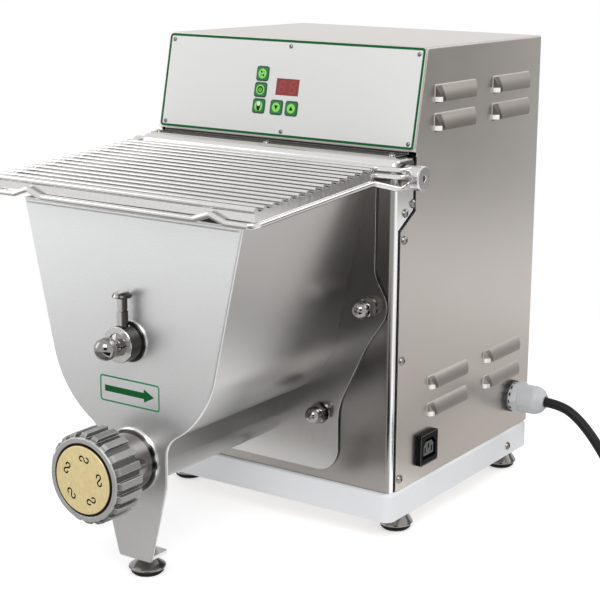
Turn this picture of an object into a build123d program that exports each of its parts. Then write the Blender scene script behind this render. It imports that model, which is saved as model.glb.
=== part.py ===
"""Countertop electric pasta extruder: mixing bowl, auger barrel, die and ring nut, drive, housing.

Millimetres. X to the right seen from the front, Y to the rear, Z up. The origin is on the floor,
under the middle of the machine, without its mains cable.
"""
from build123d import *
import math
import os

os.makedirs("parts", exist_ok=True)

# ---------------------------------------------------------------- driving dimensions
nozzle_reach = 64.0  # front face of the ring nut to the bowl's front plate
bowl_depth = 188.7  # bowl's front plate to the column's front face
housing_depth = 280.0  # column's front face to the housing's rear face
housing_width = 300.0
housing_height = 412.0
tray_overhang = 2.0  # the tray stands this far out at the sides and the rear
tray_lip = 5.0  # and this far ahead of the column
tray_height = 27.5
foot_height = 24.5

bowl_radius = 92.0  # outside of the round bottom, about the mixing shaft
bowl_flare = 12.8  # degrees that each bowl side leans outwards
bowl_wall = 2.0
bowl_front_height = 331.5  # rim above the floor at the front plate
bowl_rear_height = 344.0  # rim above the floor at the flange
plate_margin = 1.0  # the front plate stands this far outside the bowl
plate_wall = 2.0
flange_wall = 2.5

auger_height = 59.0  # auger axis above the tray's top
gear_module = 2.5
auger_teeth = 34
mixer_teeth = 52
pinion_teeth = 17
gear_width = 20.0
shaft_radius = 10.0
barrel_bore = 24.0
barrel_wall = 2.0
screw_pitch = 32.0

column_width = 297.0
column_height = 315.0  # above the tray
column_wall = 2.5
column_corner = 5.5
column_top_roll = 8.5
cover_wall = 1.2
cover_setback = 9.0  # the cover's side edge behind the column's front face
notch_depth = 35.0  # the notch for the lid's hinge, behind the column's front face
notch_low = 316.0
notch_high = 369.0
panel_low = 370.8  # height of the control panel's lower edge
panel_setback = 31.6
panel_lean = 19.7  # how far the panel leans back over its height

lid_half_width = 142.9
lid_front = 215.2  # lid's front wire ahead of the origin
lid_rear = 43.8
lid_front_height = 349.2
lid_rear_height = 361.3
wire_pitch = 12.0
wire_radius = 2.0
loop_radius = 2.75
loop_drop = 12.0
hinge_setback = 18.0  # hinge axis behind the column's front face
hinge_height = 350.0
hub_radius = 11.5
hub_reach = 168.0

nut_radius = 40.2
nut_length = 32.0
nut_ribs = 20
nut_rib_width = 6.0
nut_rib_phase = 1.5
nut_face_setback = 1.0  # the die stands this far proud of the nut
die_radius = 30.0
head_radius = 35.0
die_slots = 5
die_slot_circle = 19.0
die_slot_phase = 11.3

spigot_radius = 8.0
spigot_travel = 12.0
lock_pin_offset = 9.6  # lock pin axis ahead of the front plate
lock_pin_travel = 12.0
key_travel = 0.6

running_clearance = 0.05
seat_gap = 0.3  # between faces that move past each other

cable_radius = 5.1
gland_height = 88.0
gland_setback = 243.0  # gland axis behind the column's front face
outlet_height = 82.0
outlet_setback = 62.0

# ---------------------------------------------------------------- places worked out from them
overall_depth = nozzle_reach + bowl_depth + housing_depth + tray_overhang
tray_rear_y = overall_depth / 2
housing_rear_y = tray_rear_y - tray_overhang
column_y = housing_rear_y - housing_depth
flange_y = column_y - flange_wall
plate_y = column_y - bowl_depth
plate_back_y = plate_y + plate_wall
nut_y = plate_y - nozzle_reach
tray_front_y = column_y - tray_lip

tray_top = foot_height + tray_height
housing_top = tray_top + housing_height
column_top = tray_top + column_height
half_width = housing_width / 2
tray_half = half_width + tray_overhang
column_half = column_width / 2
auger_z = tray_top + auger_height
mixer_z = auger_z + gear_module * (auger_teeth + mixer_teeth) / 2
hinge_y = column_y + hinge_setback
lock_pin_y = plate_y - lock_pin_offset
gland_y = column_y + gland_setback
outlet_y = column_y + outlet_setback
trough_radius = barrel_bore + barrel_wall - 0.5
flare = math.radians(bowl_flare)


# ---------------------------------------------------------------- shape helpers
def block(x0, x1, y0, y1, z0, z1):
    """A box between two corners."""
    return Pos((x0 + x1) / 2, (y0 + y1) / 2, (z0 + z1) / 2) * Box(x1 - x0, y1 - y0, z1 - z0)


def rod_x(radius, x0, x1, y, z):
    return Pos((x0 + x1) / 2, y, z) * Rot(0, 90, 0) * Cylinder(radius, abs(x1 - x0))


def rod_y(radius, y0, y1, x=0.0, z=0.0):
    return Pos(x, (y0 + y1) / 2, z) * Rot(90, 0, 0) * Cylinder(radius, abs(y1 - y0))


def rod_z(radius, z0, z1, x, y):
    return Pos(x, y, (z0 + z1) / 2) * Cylinder(radius, abs(z1 - z0))


def slab_y(outline, y0, y1):
    """An outline in X and Z, given thickness from y0 to y1."""
    front_view = Plane(origin=(0, y1, 0), x_dir=(1, 0, 0), z_dir=(0, -1, 0))
    return extrude(front_view * outline, amount=y1 - y0)


def slab_x(outline, x0, x1):
    """An outline in Y and Z, given thickness from x0 to x1."""
    side_view = Plane(origin=(x0, 0, 0), x_dir=(0, 1, 0), z_dir=(1, 0, 0))
    return extrude(side_view * outline, amount=x1 - x0)


def turned_y(points, x=0.0, z=0.0):
    """Points of radius and Y, turned about an axis along Y."""
    profile = Pos(x, 0, z) * make_face(Polyline(*points, close=True))
    return revolve(profile, Axis((x, 0, z), (0, 1, 0)))


def turned_x(points, y, z):
    """Points of X and radius, turned about an axis along X."""
    profile = Pos(0, y, z) * make_face(Polyline(*points, close=True))
    return revolve(profile, Axis((0, y, z), (1, 0, 0)))


def turned_z(points, x, y):
    """Points of radius and Z, turned about an upright axis."""
    upright = Plane(origin=(x, y, 0), x_dir=(1, 0, 0), z_dir=(0, -1, 0))
    return revolve(upright * make_face(Polyline(*points, close=True)), Axis((x, y, 0), (0, 0, 1)))


def wire(points, radii, radius):
    """A round wire bent along straight runs and tangent arcs."""
    path = FilletPolyline(*points, radius=radii)
    start = Plane(origin=path @ 0, z_dir=path % 0)
    return sweep(start * Circle(radius), path=path)


def both_sides(shape):
    """The shape and its mirror image in the plane X 0."""
    return shape + mirror(shape, about=Plane.YZ)


def button_head(radius, height):
    """A button head screw's head with its socket, seated on Z 0 and rising along Z."""
    profile = Polyline((0, 0), (radius, 0), (radius * 0.86, height * 0.62), (radius * 0.45, height),
                       (0, height), close=True)
    head = revolve(Plane.XZ * make_face(profile), Axis.Z)
    socket = Pos(0, 0, height) * extrude(RegularPolygon(radius * 0.4, 6), amount=-height * 0.6)
    return head - socket


def group(shapes):
    return Compound(children=list(shapes))


# ---------------------------------------------------------------- base
foot_places = [(sx * 128.0, y) for sx in (-1, 1) for y in (column_y + 47.0, column_y + 265.5)]
stud_radius = 4.0
pad_height = 5.0


def make_base_tray():
    """White folded tray under the housing, open below."""
    width = 2 * tray_half
    depth = tray_rear_y - tray_front_y
    centre_y = (tray_rear_y + tray_front_y) / 2
    tray = Pos(0, centre_y, foot_height + tray_height / 2) * Box(width, depth, tray_height)
    tray = fillet(tray.edges().filter_by(Axis.Z), 10)
    tray = fillet(tray.faces().sort_by(Axis.Z)[-1].edges(), 4)
    wall = 2.0
    hollow = Pos(0, centre_y, foot_height + tray_height / 2 - wall) * Box(width - 2 * wall, depth - 2 * wall,
                                                                          tray_height)
    hollow = fillet(hollow.edges().filter_by(Axis.Z), 8)
    cable_way = Pos(0, centre_y + 20, tray_top) * Box(150, 150, 3 * wall)
    return tray - hollow - cable_way


def make_bottom_plate():
    """Sheet that closes the tray from below, with slots for air."""
    depth = tray_rear_y - tray_front_y - 6
    centre_y = (tray_rear_y + tray_front_y) / 2
    plate = Pos(0, centre_y, foot_height + 1.75) * Box(2 * tray_half - 6, depth, 1.5)
    plate = fillet(plate.edges().filter_by(Axis.Z), 6)
    for row in range(6):
        place = Pos(0, centre_y - 50 + row * 20, foot_height + 1.75)
        plate -= place * extrude(SlotOverall(90, 6), amount=4, both=True)
    for x, y in foot_places:
        plate -= rod_z(stud_radius, foot_height, foot_height + 5, x, y)
    return plate


def foot_cone(x, y, top, stud_top):
    """Turned steel foot with its stud."""
    points = [(0, pad_height), (15.8, pad_height), (16.9, pad_height + 1.2), (16.5, pad_height + 2.3),
              (6.6, top - 2.8), (5.6, top - 1.2), (5.6, top), (stud_radius, top), (stud_radius, stud_top),
              (0, stud_top)]
    return turned_z(points, x, y)


def foot_pad(x, y):
    """Rubber pad under a foot."""
    return turned_z([(0, 0), (12.6, 0), (14.6, 1.8), (15.2, pad_height), (0, pad_height)], x, y)


# ---------------------------------------------------------------- column and housing
stud_places = [(122.9, 228.9), (71.9, 119.0)]
flange_stud_radius = 5.0


def make_front_column():
    """Polished folded front wall with side flanges and a ledge on top."""
    depth = 42.0
    centre_y = column_y + depth / 2
    centre_z = (tray_top + column_top) / 2


    def folded(box, roll, corner):
        """The box with its top front edge rolled over and its front corners bent."""
        top_front = box.edges().filter_by(Axis.X).group_by(Axis.Z)[-1].sort_by(Axis.Y)[0]
        box = fillet(top_front, roll)
        return fillet(box.edges().filter_by(Axis.Z).group_by(Axis.Y)[0], corner)

    outer = folded(Pos(0, centre_y, centre_z) * Box(column_width, depth, column_height), column_top_roll,
                   column_corner)
    inner_box = Box(column_width - 2 * column_wall, depth, column_height)
    inner = folded(Pos(0, centre_y + column_wall, centre_z - column_wall) * inner_box,
                   column_top_roll - column_wall, column_corner - column_wall)
    column = outer - inner
    for z in (auger_z, mixer_z):
        column -= rod_y(shaft_radius + 2, column_y - 1, column_y + 10, 0, z)
    for x, z in stud_places:
        column -= both_sides(rod_y(flange_stud_radius + 0.3, column_y - 1, column_y + 10, x, z))
    column -= both_sides(rod_x(8.02, column_half - 10, column_half + 5, hinge_y, hinge_height))
    return column


def side_profile(inset):
    """The cover seen from the side, from the tray up to the top and the leaning panel."""
    lean = panel_lean / (housing_top - panel_low)
    top = housing_top - inset
    low_y = column_y + panel_setback + inset * math.hypot(1, lean)
    return low_y, low_y + (top - panel_low) * lean, top


def louvre(centre_y, low_z, height):
    """A pressed louvre of the right side wall: the hood, and the hollow behind it."""

    def hood(half_length, depth, rise, drop, back):
        bend = 11.0
        low_end, high_end = -half_length, half_length
        ends = [Line((-back, low_end), (0, low_end)),
                ThreePointArc((0, low_end), (depth * 0.72, low_end + bend * 0.36), (depth, low_end + bend)),
                Line((depth, low_end + bend), (depth, high_end - bend)),
                ThreePointArc((depth, high_end - bend), (depth * 0.72, high_end - bend * 0.36), (0, high_end)),
                Line((0, high_end), (-back, high_end)),
                Line((-back, high_end), (-back, low_end))]
        plan = Pos(half_width, centre_y, low_z - drop) * extrude(make_face(ends), amount=rise + drop)
        side = [Line((-back, -drop), (depth, -drop)),
                ThreePointArc((depth, -drop), (depth * 0.62, rise * 0.54), (0, rise)),
                Line((0, rise), (-back, rise)), Line((-back, rise), (-back, -drop))]
        origin = (half_width, centre_y + half_length + 1, low_z)
        end_view = Plane(origin=origin, x_dir=(1, 0, 0), z_dir=(0, -1, 0))
        return plan & extrude(end_view * make_face(side), amount=2 * half_length + 2)

    length, depth, sheet = 77.0, 6.5, 1.0
    outer = hood(length / 2, depth, height, 0, cover_wall / 2)
    hollow = hood(length / 2 - sheet, depth - sheet, height - sheet, 1.0, 4.0)
    return outer, hollow


ledge_setback = 9.5  # front edge of the cover's flange on the ledge, behind the column's front face
louvre_rows = [(112.0, 13.0), (139.0, 13.0), (387.0, 16.0), (413.5, 16.0)]
louvre_columns = [column_y + 102.5, column_y + 215.5]


def make_housing_cover():
    """Folded stainless cover: two sides with louvres, top, and the leaning frame of the panel."""
    low_y, high_y, top = side_profile(0)
    edge_y = column_y + cover_setback
    notch_y = column_y + notch_depth
    outline = Polyline((edge_y, tray_top), (edge_y, notch_low - 16), (notch_y, notch_low),
                       (notch_y, notch_high), (low_y, panel_low), (high_y, top), (housing_rear_y, top),
                       (housing_rear_y, tray_top), close=True)
    cover = slab_x(make_face(outline), -half_width, half_width)
    long_edges = [e for e in cover.edges().filter_by(Axis.Y) if e.center().Z > top - 1]
    cover = fillet(long_edges, 2.5)
    in_low_y, in_high_y, in_top = side_profile(cover_wall)
    run = 100.0
    lean = panel_lean / (housing_top - panel_low)
    hollow_line = Polyline((in_low_y - 3 * lean, panel_low - 3), (in_high_y, in_top),
                           (housing_rear_y + 5, in_top), (housing_rear_y + 5, tray_top - 5),
                           (edge_y - run, tray_top - 5),
                           (edge_y - run, panel_low - 3), close=True)
    cover -= slab_x(make_face(hollow_line), -half_width + cover_wall, half_width - cover_wall)
    flange = block(half_width - cover_wall - 12, half_width - cover_wall,
                   housing_rear_y - 3.0, housing_rear_y - 1.6, tray_top, housing_top - 10)
    cover += both_sides(flange)
    ledge_half = column_half - column_corner - 0.5
    cover += block(-ledge_half, ledge_half, column_y + ledge_setback, low_y + cover_wall, column_top,
                   column_top + cover_wall)
    cover += block(-ledge_half, ledge_half, low_y, low_y + cover_wall, column_top, panel_low + 0.5)
    hoods, hollows = [], []
    for low_z, height in louvre_rows:
        for centre_y in louvre_columns:
            hood, hollow = louvre(centre_y, low_z, height)
            hoods.append(hood)
            hollows.append(hollow)
    for hood in hoods:
        cover += both_sides(hood)
    for hollow in hollows:
        cover -= both_sides(hollow)
    for x, s, width, height in key_places:
        cover -= on_panel(x, s, 0) * key_way(width, height)
    cover -= on_panel(display_x, display_s, 0) * Box(display_width - 2, display_height - 2, 8)
    for x, s in panel_screw_places:
        cover -= on_panel(x, s, 0) * Cylinder(panel_screw_radius + 0.1, 8)
    cover -= block(half_width - 5, half_width + 5, outlet_y - outlet_body / 2, outlet_y + outlet_body / 2,
                   outlet_height - outlet_body / 2 + 1, outlet_height + outlet_body / 2 - 1)
    cover -= rod_x(gland_thread, half_width - 5, half_width + 5, gland_y, gland_height)
    return cover


def make_rear_panel():
    """Flat sheet that closes the housing at the rear, with louvre slots near the motor."""
    gap = 0.1
    panel = block(-half_width + cover_wall + gap, half_width - cover_wall - gap, housing_rear_y - cover_wall,
                  housing_rear_y, tray_top, housing_top - cover_wall - gap)
    for row in range(6):
        for x in (-70.0, 70.0):
            slot = SlotOverall(84, 5)
            panel -= slab_y(Pos(x, 96.0 + row * 14) * slot, housing_rear_y - 5, housing_rear_y + 5)
    return panel


# ---------------------------------------------------------------- control panel
panel_height = math.hypot(panel_lean, housing_top - panel_low)
panel_normal = (0, -(housing_top - panel_low) / panel_height, panel_lean / panel_height)
panel_plane = Plane(origin=(0, column_y + panel_setback, panel_low), x_dir=(1, 0, 0), z_dir=panel_normal)
overlay_thickness = 1.4
key_width, key_height, key_corner = 14.3, 14.0, 2.5
key_places = [(-29.0, 60.3, key_width, key_height), (-29.4, 44.7, key_width, key_height),
              (-29.3, 29.0, key_width, key_height), (-8.4, 29.0, key_width, key_height),
              (9.1, 29.0, key_width, key_height)]
key_names = ["key_fan", "key_power", "key_knead", "key_down", "key_up"]
display_x, display_s, display_width, display_height = 1.6, 49.0, 26.4, 16.0
panel_screw_places = [(x, s) for x in (-142.0, 0.0, 142.0) for s in (6.3, 88.0)]
panel_screw_radius = 1.2
board_depth = 8.0  # the board's face behind the cover's face


def on_panel(x, s, out):
    """A place on the leaning panel: across, up the slope, and out of its face."""
    return panel_plane.location * Pos(x, s, out)


def key_way(width, height):
    """Opening that a key cap moves in."""
    outline = RectangleRounded(width + 2 * seat_gap, height + 2 * seat_gap, key_corner + seat_gap)
    return extrude(outline, amount=4, both=True)


def make_control_overlay():
    """Light front plate of the panel, with openings for the keys and the display."""
    width, margin = 297.0, 0.8
    plate = on_panel(0, panel_height / 2, overlay_thickness / 2) * Box(width, panel_height - 2 * margin,
                                                                      overlay_thickness)
    corner_edges = [e for e in plate.edges() if abs(e.length - overlay_thickness) < 0.01]
    plate = fillet(corner_edges, 5)
    for x, s, key_w, key_h in key_places:
        plate -= on_panel(x, s, 0) * key_way(key_w, key_h)
    plate -= on_panel(display_x, display_s, 0) * Box(display_width + 0.1, display_height + 0.1, 8)
    for x, s in panel_screw_places:
        plate -= on_panel(x, s, 0) * Cylinder(panel_screw_radius + 0.1, 8)
    return plate


def make_panel_screws():
    screws = []
    for x, s in panel_screw_places:
        head = on_panel(x, s, overlay_thickness) * button_head(2.1, 1.2)
        shank = Cylinder(panel_screw_radius, overlay_thickness + 4)
        shank = on_panel(x, s, (overlay_thickness - 4) / 2) * shank
        screws.append(head + shank)
    return group(screws)


def make_display_window():
    thickness = overlay_thickness - 0.1
    window = Box(display_width, display_height, thickness)
    return on_panel(display_x, display_s, thickness / 2 + 0.05) * window


def make_key(x, s, width, height):
    """A key cap with the wider skirt that keeps it behind the cover."""
    cap_low, cap_high = -cover_wall - seat_gap - 0.5, overlay_thickness + 0.8
    outline = RectangleRounded(width, height, key_corner)
    cap = on_panel(x, s, cap_low) * extrude(outline, amount=cap_high - cap_low)
    top = cap.faces().sort_by(Axis(panel_plane.origin, panel_normal))[-1]
    cap = fillet(top.edges(), 0.7)
    skirt = on_panel(x, s, -cover_wall - seat_gap - 0.6) * Box(width + 1.6, height + 1.4, 1.2)
    stem = on_panel(x, s, -cover_wall - seat_gap - 2.2) * Cylinder(2, 2.2)
    return cap + skirt + stem


def make_control_board():
    """Circuit board behind the panel, with a switch under each key and the display block."""
    board = on_panel(-10, 47.0, -board_depth - 0.8) * Box(190, 62, 1.6)
    stem_end = -cover_wall - seat_gap - 3.3
    switch_top = stem_end - key_travel - 0.15
    for x, s, _, _ in key_places:
        board += on_panel(x, s, (switch_top - board_depth) / 2) * Box(6, 6, switch_top + board_depth)
    display_top = -0.3
    board += on_panel(display_x, display_s, (display_top - board_depth) / 2) * Box(
        display_width - 3, display_height - 3, display_top + board_depth)
    for x in (-95.0, 75.0):
        for s in (22.0, 72.0):
            board += on_panel(x, s, (-cover_wall - board_depth) / 2) * Cylinder(3, board_depth - cover_wall)
    return board


# ---------------------------------------------------------------- housing screws
side_screw_heights = [63.0, 178.3, 292.2]


def make_housing_screws():
    """Button heads on the sides of the cover, the column and the tray, on the ledge and the rear."""
    screws = []
    facing_right = Rot(0, 90, 0)
    side_places = [(half_width, column_y + 15.5, z) for z in side_screw_heights]
    side_places += [(column_half, column_y + 18.2, 316.5), (column_half, column_y + 30.5, 323.7)]
    side_places += [(tray_half, column_y + 234.0, 35.0)]
    for x, y, z in side_places:
        screw = Pos(x, y, z) * facing_right * button_head(4.3, 2.6)
        screws += [screw, mirror(screw, about=Plane.YZ)]
    for x in (-136.0, -4.0, 136.0):
        screws.append(Pos(x, column_y + 14, column_top + cover_wall) * button_head(3.4, 2.0))
    for x in (-139.0, 139.0):
        for z in (70.0, 200.0, 330.0, 446.0):
            screws.append(Pos(x, housing_rear_y, z) * Rot(-90, 0, 0) * button_head(3.8, 1.9))
    return group(screws)


# ---------------------------------------------------------------- bowl
def bowl_outline(radius, top):
    """Round bottom about the mixing shaft, with both sides flared up to the given height."""
    tangent_x = radius * math.cos(flare)
    tangent_z = mixer_z - radius * math.sin(flare)
    top_x = tangent_x + (top - tangent_z) * math.tan(flare)
    return make_face([
        Line((top_x, top), (tangent_x, tangent_z)),
        ThreePointArc((tangent_x, tangent_z), (0, mixer_z - radius), (-tangent_x, tangent_z)),
        Line((-tangent_x, tangent_z), (-top_x, top)),
        Line((-top_x, top), (top_x, top)),
    ])


def make_bowl_shell():
    """U-shaped bowl wall with a sloping rim, open below over the auger."""
    front, rear = plate_back_y, flange_y
    tall = bowl_rear_height + 20
    shell = slab_y(bowl_outline(bowl_radius, tall), front, rear)
    shell -= slab_y(bowl_outline(bowl_radius - bowl_wall, tall + 5), front - 1, rear + 1)
    slope = (bowl_rear_height - bowl_front_height) / (flange_y - plate_y)
    far = 20.0
    above = Polyline((front - far, bowl_front_height - far * slope), (rear + far, bowl_rear_height + far * slope),
                     (rear + far, tall + 50), (front - far, tall + 50), close=True)
    shell -= slab_x(make_face(above), -200, 200)
    mouth = trough_radius - barrel_wall
    shell -= block(-mouth, mouth, front - 1, rear - 3.5, auger_z, mixer_z)
    return shell


leg_half = 38.0
leg_knee = 91.5
leg_foot_half = 18.5
leg_corner = 4.0
tab_low = 17.5
tab_thickness = 3.0
tab_depth = 28.5
foot_axis_y = plate_y + 17.0


def make_bowl_front_plate():
    """Front plate of the bowl: its lower end is the leg, bent back into a tab for the foot."""
    outline = bowl_outline(bowl_radius + plate_margin, bowl_front_height)
    leg = make_face(Polyline((-leg_half, mixer_z), (leg_half, mixer_z), (leg_half, leg_knee),
                             (leg_foot_half, tab_low), (-leg_foot_half, tab_low), (-leg_half, leg_knee),
                             close=True))
    outline += leg
    waist = [v for v in outline.vertices()
             if leg_knee + 5 < v.Y < mixer_z - 30 and abs(abs(v.X) - leg_half) < 1]
    outline = fillet(waist, 22)
    knees = [v for v in outline.vertices() if abs(v.Y - leg_knee) < 0.5]
    outline = fillet(knees, 14)
    ends = [v for v in outline.vertices() if abs(v.Y - tab_low) < 0.5]
    outline = fillet(ends, leg_corner)
    plate = slab_y(outline, plate_y, plate_back_y)
    tab_half = leg_foot_half - leg_corner
    tab = block(-tab_half, tab_half, plate_y, plate_y + tab_depth, tab_low, tab_low + tab_thickness)
    tab = fillet(tab.edges().filter_by(Axis.Z).group_by(Axis.Y)[-1], 3)
    plate += tab
    bend = [e for e in plate.edges().filter_by(Axis.X)
            if abs(e.center().Z - tab_low) < 0.1 and abs(e.center().Y - plate_y) < 0.1]
    plate = fillet(bend, 1.9)
    half_top = bowl_radius * math.cos(flare) + (bowl_front_height - mixer_z + bowl_radius * math.sin(flare)) \
        * math.tan(flare)
    plate += rod_x(2.4, -half_top + 3.2, half_top - 3.2, plate_y + 1.4, bowl_front_height - 2.4)
    plate -= rod_y(barrel_bore, plate_y - 5, plate_back_y + 5, 0, auger_z)
    plate -= rod_y(spigot_radius + running_clearance, plate_y - 5, plate_back_y + 5, 0, mixer_z)
    plate -= rod_z(stud_radius + running_clearance, tab_low - 5, tab_low + 10, 0, foot_axis_y)
    return plate


def make_leg_foot_nut():
    """Hexagon nut on the tab, over the leg foot's stud."""
    nut = Pos(0, foot_axis_y, tab_low + tab_thickness) * extrude(RegularPolygon(8.6, 6), amount=8)
    return nut - rod_z(stud_radius + running_clearance, tab_low, tab_low + 25, 0, foot_axis_y)


def make_bowl_flange():
    """Plate that carries the bowl on the column, with rounded shoulders at the four nuts."""
    corners = [(130.0, 347.0, 6), (130.0, 260.0, 25), (147.9, 229.6, 23), (122.0, 191.0, 60),
               (92.0, 128.5, 57), (92.0, 62.0, 24)]
    half = [(x, z) for x, z, _ in corners]
    outline = make_face(Polyline(*half, *[(-x, z) for x, z in reversed(half)], close=True))
    for x, z, radius in corners:
        for side in (-x, x):
            nearest = min(outline.vertices(), key=lambda v: math.hypot(v.X - side, v.Y - z))
            outline = fillet(nearest, radius)
    flange = slab_y(outline, flange_y, column_y)
    for z in (auger_z, mixer_z):
        flange -= rod_y(shaft_radius + 0.6, flange_y - 1, column_y + 1, 0, z)
    for x, z in stud_places:
        flange -= both_sides(rod_y(flange_stud_radius + 0.3, flange_y - 1, column_y + 1, x, z))
    return flange


def make_auger_trough():
    """U-shaped channel under the bowl that holds the auger."""
    inner = trough_radius - barrel_wall

    def channel(radius):
        top = auger_z + 40
        return make_face([
            Line((radius, top), (radius, auger_z)),
            ThreePointArc((radius, auger_z), (0, auger_z - radius), (-radius, auger_z)),
            Line((-radius, auger_z), (-radius, top)),
            Line((-radius, top), (radius, top)),
        ])

    trough = slab_y(channel(trough_radius), plate_back_y, flange_y)
    trough -= slab_y(channel(inner), plate_back_y - 1, flange_y + 1)
    trough -= rod_y(bowl_radius + 0.03, plate_back_y - 1, flange_y + 1, 0, mixer_z)
    return trough


def make_dome_nuts():
    """Acorn nuts on washers, two at each side of the bowl."""
    nuts = []
    hex_front, dome_y = flange_y - 9.6, flange_y - 12.0
    for x, z in stud_places:
        outline = Pos(x, z) * RegularPolygon(8.5, 6, major_radius=False, rotation=30)
        bevel = [(0, hex_front), (8.7, hex_front), (9.9, hex_front + 1.2), (9.9, flange_y), (0, flange_y)]
        hexagon = slab_y(outline, hex_front, flange_y - 1.6) & turned_y(bevel, x, z)
        washer = rod_y(10.4, flange_y - 1.6, flange_y, x, z)
        collar = rod_y(7.9, dome_y, hex_front, x, z)
        dome = Pos(x, dome_y, z) * Sphere(7.9) & block(x - 10, x + 10, dome_y - 10, dome_y, z - 10, z + 10)
        nut = hexagon + washer + collar + dome - rod_y(flange_stud_radius, dome_y + 1, flange_y + 1, x, z)
        nuts += [nut, mirror(nut, about=Plane.YZ)]
    return group(nuts)


def make_flange_studs():
    """Studs from the column into the acorn nuts, each with a collar behind the wall."""
    studs = []
    for x, z in stud_places:
        stud = rod_y(flange_stud_radius, flange_y - 10.9, column_y + column_wall, x, z)
        stud += rod_y(7.0, column_y + column_wall, column_y + column_wall + 4, x, z)
        studs += [stud, mirror(stud, about=Plane.YZ)]
    return group(studs)


# ---------------------------------------------------------------- barrel, die and ring nut
lip_thickness = 4.5
die_flange_thickness = 6.0
nut_face_y = nut_y + nut_face_setback
die_back_y = nut_y + lip_thickness + 0.1 + die_flange_thickness
nut_cavity = head_radius + 0.08


def make_barrel_head():
    """Neck of the barrel with the threaded head that the ring nut screws on."""
    face = die_back_y + running_clearance
    points = [(barrel_bore, plate_y), (29.0, plate_y), (29.0, plate_y - 1.4), (27.8, plate_y - 2.4),
              (26.0, plate_y - 2.4), (26.0, nut_y + nut_length - 4), (head_radius, nut_y + nut_length - 1),
              (head_radius, face + 1), (head_radius - 1, face), (barrel_bore, face)]
    return turned_y(points, 0, auger_z)


def s_slot(radius, offset, width):
    """An S: a straight middle between two hooks about centres that stand the offset above and below."""
    lean = math.degrees(math.asin(radius / offset))
    run = math.sqrt(offset ** 2 - radius ** 2)
    joint = (run * math.sin(math.radians(lean)), run * math.cos(math.radians(lean)))

    def on_hook(angle):
        turn = math.radians(angle)
        return radius * math.cos(turn), offset + radius * math.sin(turn)

    hook = SlotArc(ThreePointArc(joint, on_hook(75), on_hook(190)), width)
    middle = Rot(0, 0, 90 - lean) * SlotCenterToCenter(2 * run, width)
    return hook + middle + Rot(0, 0, 180) * hook


def make_extrusion_die():
    """Bronze disc with five S-shaped slots, held by its flange."""
    front = nut_y
    shoulder = die_back_y - die_flange_thickness
    points = [(0, die_back_y), (head_radius - 0.5, die_back_y), (head_radius - 0.5, shoulder),
              (die_radius, shoulder), (die_radius, front + 0.6), (die_radius - 0.6, front), (0, front)]
    die = turned_y(points, 0, auger_z)
    slot = s_slot(2.2, 2.7, 1.5)
    for k in range(die_slots):
        place = Pos(0, auger_z) * Rot(0, 0, die_slot_phase + k * 360 / die_slots) * Pos(die_slot_circle, 0)
        die -= slab_y(place * slot, nut_y - 2, die_back_y + 2)
    return die


def make_ring_nut():
    """Fluted ring nut: its lip holds the die against the barrel's head."""
    lip_y = nut_y + lip_thickness
    back_y = nut_y + nut_length
    core = nut_radius - 3.4
    front = nut_face_y
    inner = die_radius + 1.9
    points = [(inner + 0.5, front), (core - 0.6, front), (core, front + 0.6), (core, back_y - 1),
              (core - 1, back_y), (nut_cavity, back_y), (nut_cavity, lip_y), (inner, lip_y), (inner, front + 0.5)]
    nut = turned_y(points, 0, auger_z)
    rib = Polyline((core - 1, front + 0.9), (core, front + 0.9), (nut_radius, front + 4.3),
                   (nut_radius, back_y - 1.6), (nut_radius - 0.9, back_y - 0.7), (core - 1, back_y - 0.7),
                   close=True)
    rib = extrude(make_face(rib), amount=nut_rib_width / 2, both=True)
    for k in range(nut_ribs):
        nut += Pos(0, 0, auger_z) * Rot(0, -nut_rib_phase - k * 360 / nut_ribs, 0) * rib
    return nut


# ---------------------------------------------------------------- auger, mixing shaft and gears
drive_front_y = column_y + column_wall
drive_wall = 12.0
gear_y = drive_front_y + drive_wall + 5.5
drive_rear_y = gear_y + gear_width + 6.0
shaft_end_y = drive_rear_y + drive_wall - 0.5
pinion_angle = 90 + 7 * 360 / auger_teeth
pinion_distance = gear_module * (auger_teeth + pinion_teeth) / 2
pinion_x = pinion_distance * math.cos(math.radians(pinion_angle))
pinion_z = auger_z + pinion_distance * math.sin(math.radians(pinion_angle))
pinion_shaft = 8.0


def gear(teeth, bore, first_tooth, x, z, y0, y1):
    """A spur gear about an axis along Y, with one tooth's middle at the angle first_tooth."""
    pitch_radius = gear_module * teeth / 2
    tip, root = pitch_radius + 0.9 * gear_module, pitch_radius - 1.2 * gear_module
    half_pitch = 90.0 / teeth  # half a tooth's thickness at the pitch circle, in degrees
    corners = []
    for k in range(teeth):
        middle = first_tooth + k * 360 / teeth
        for radius, share in ((root, -1.42), (pitch_radius, -0.9), (tip, -0.42), (tip, 0.42), (pitch_radius, 0.9),
                              (root, 1.42)):
            angle = math.radians(middle + share * half_pitch)
            corners.append((x + radius * math.cos(angle), z + radius * math.sin(angle)))
    outline = make_face(Polyline(*corners, close=True)) - Pos(x, z) * Circle(bore)
    return slab_y(outline, y0, y1)


def make_auger():
    """Screw with its long drive shaft."""
    tip_y = die_back_y + 7
    root_y = flange_y - 4
    core = turned_y([(0, tip_y), (5, tip_y), (12, tip_y + 9), (12, root_y), (shaft_radius, root_y),
                     (shaft_radius, shaft_end_y), (0, shaft_end_y)], 0, auger_z)
    flight_length = root_y - tip_y - 10
    outer = barrel_bore - 0.6
    helix = Helix(pitch=screw_pitch, height=flight_length, radius=(outer + 11) / 2)
    start = Plane(origin=helix @ 0, x_dir=(1, 0, 0), z_dir=helix % 0)
    flight = sweep(start * Rectangle(outer - 11, 4.0), path=helix, is_frenet=True)
    flight = Pos(0, root_y - 2.6, auger_z) * Rot(90, 0, 0) * flight
    return core + flight


arm_count = 4
arm_reach = 82.0


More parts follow.
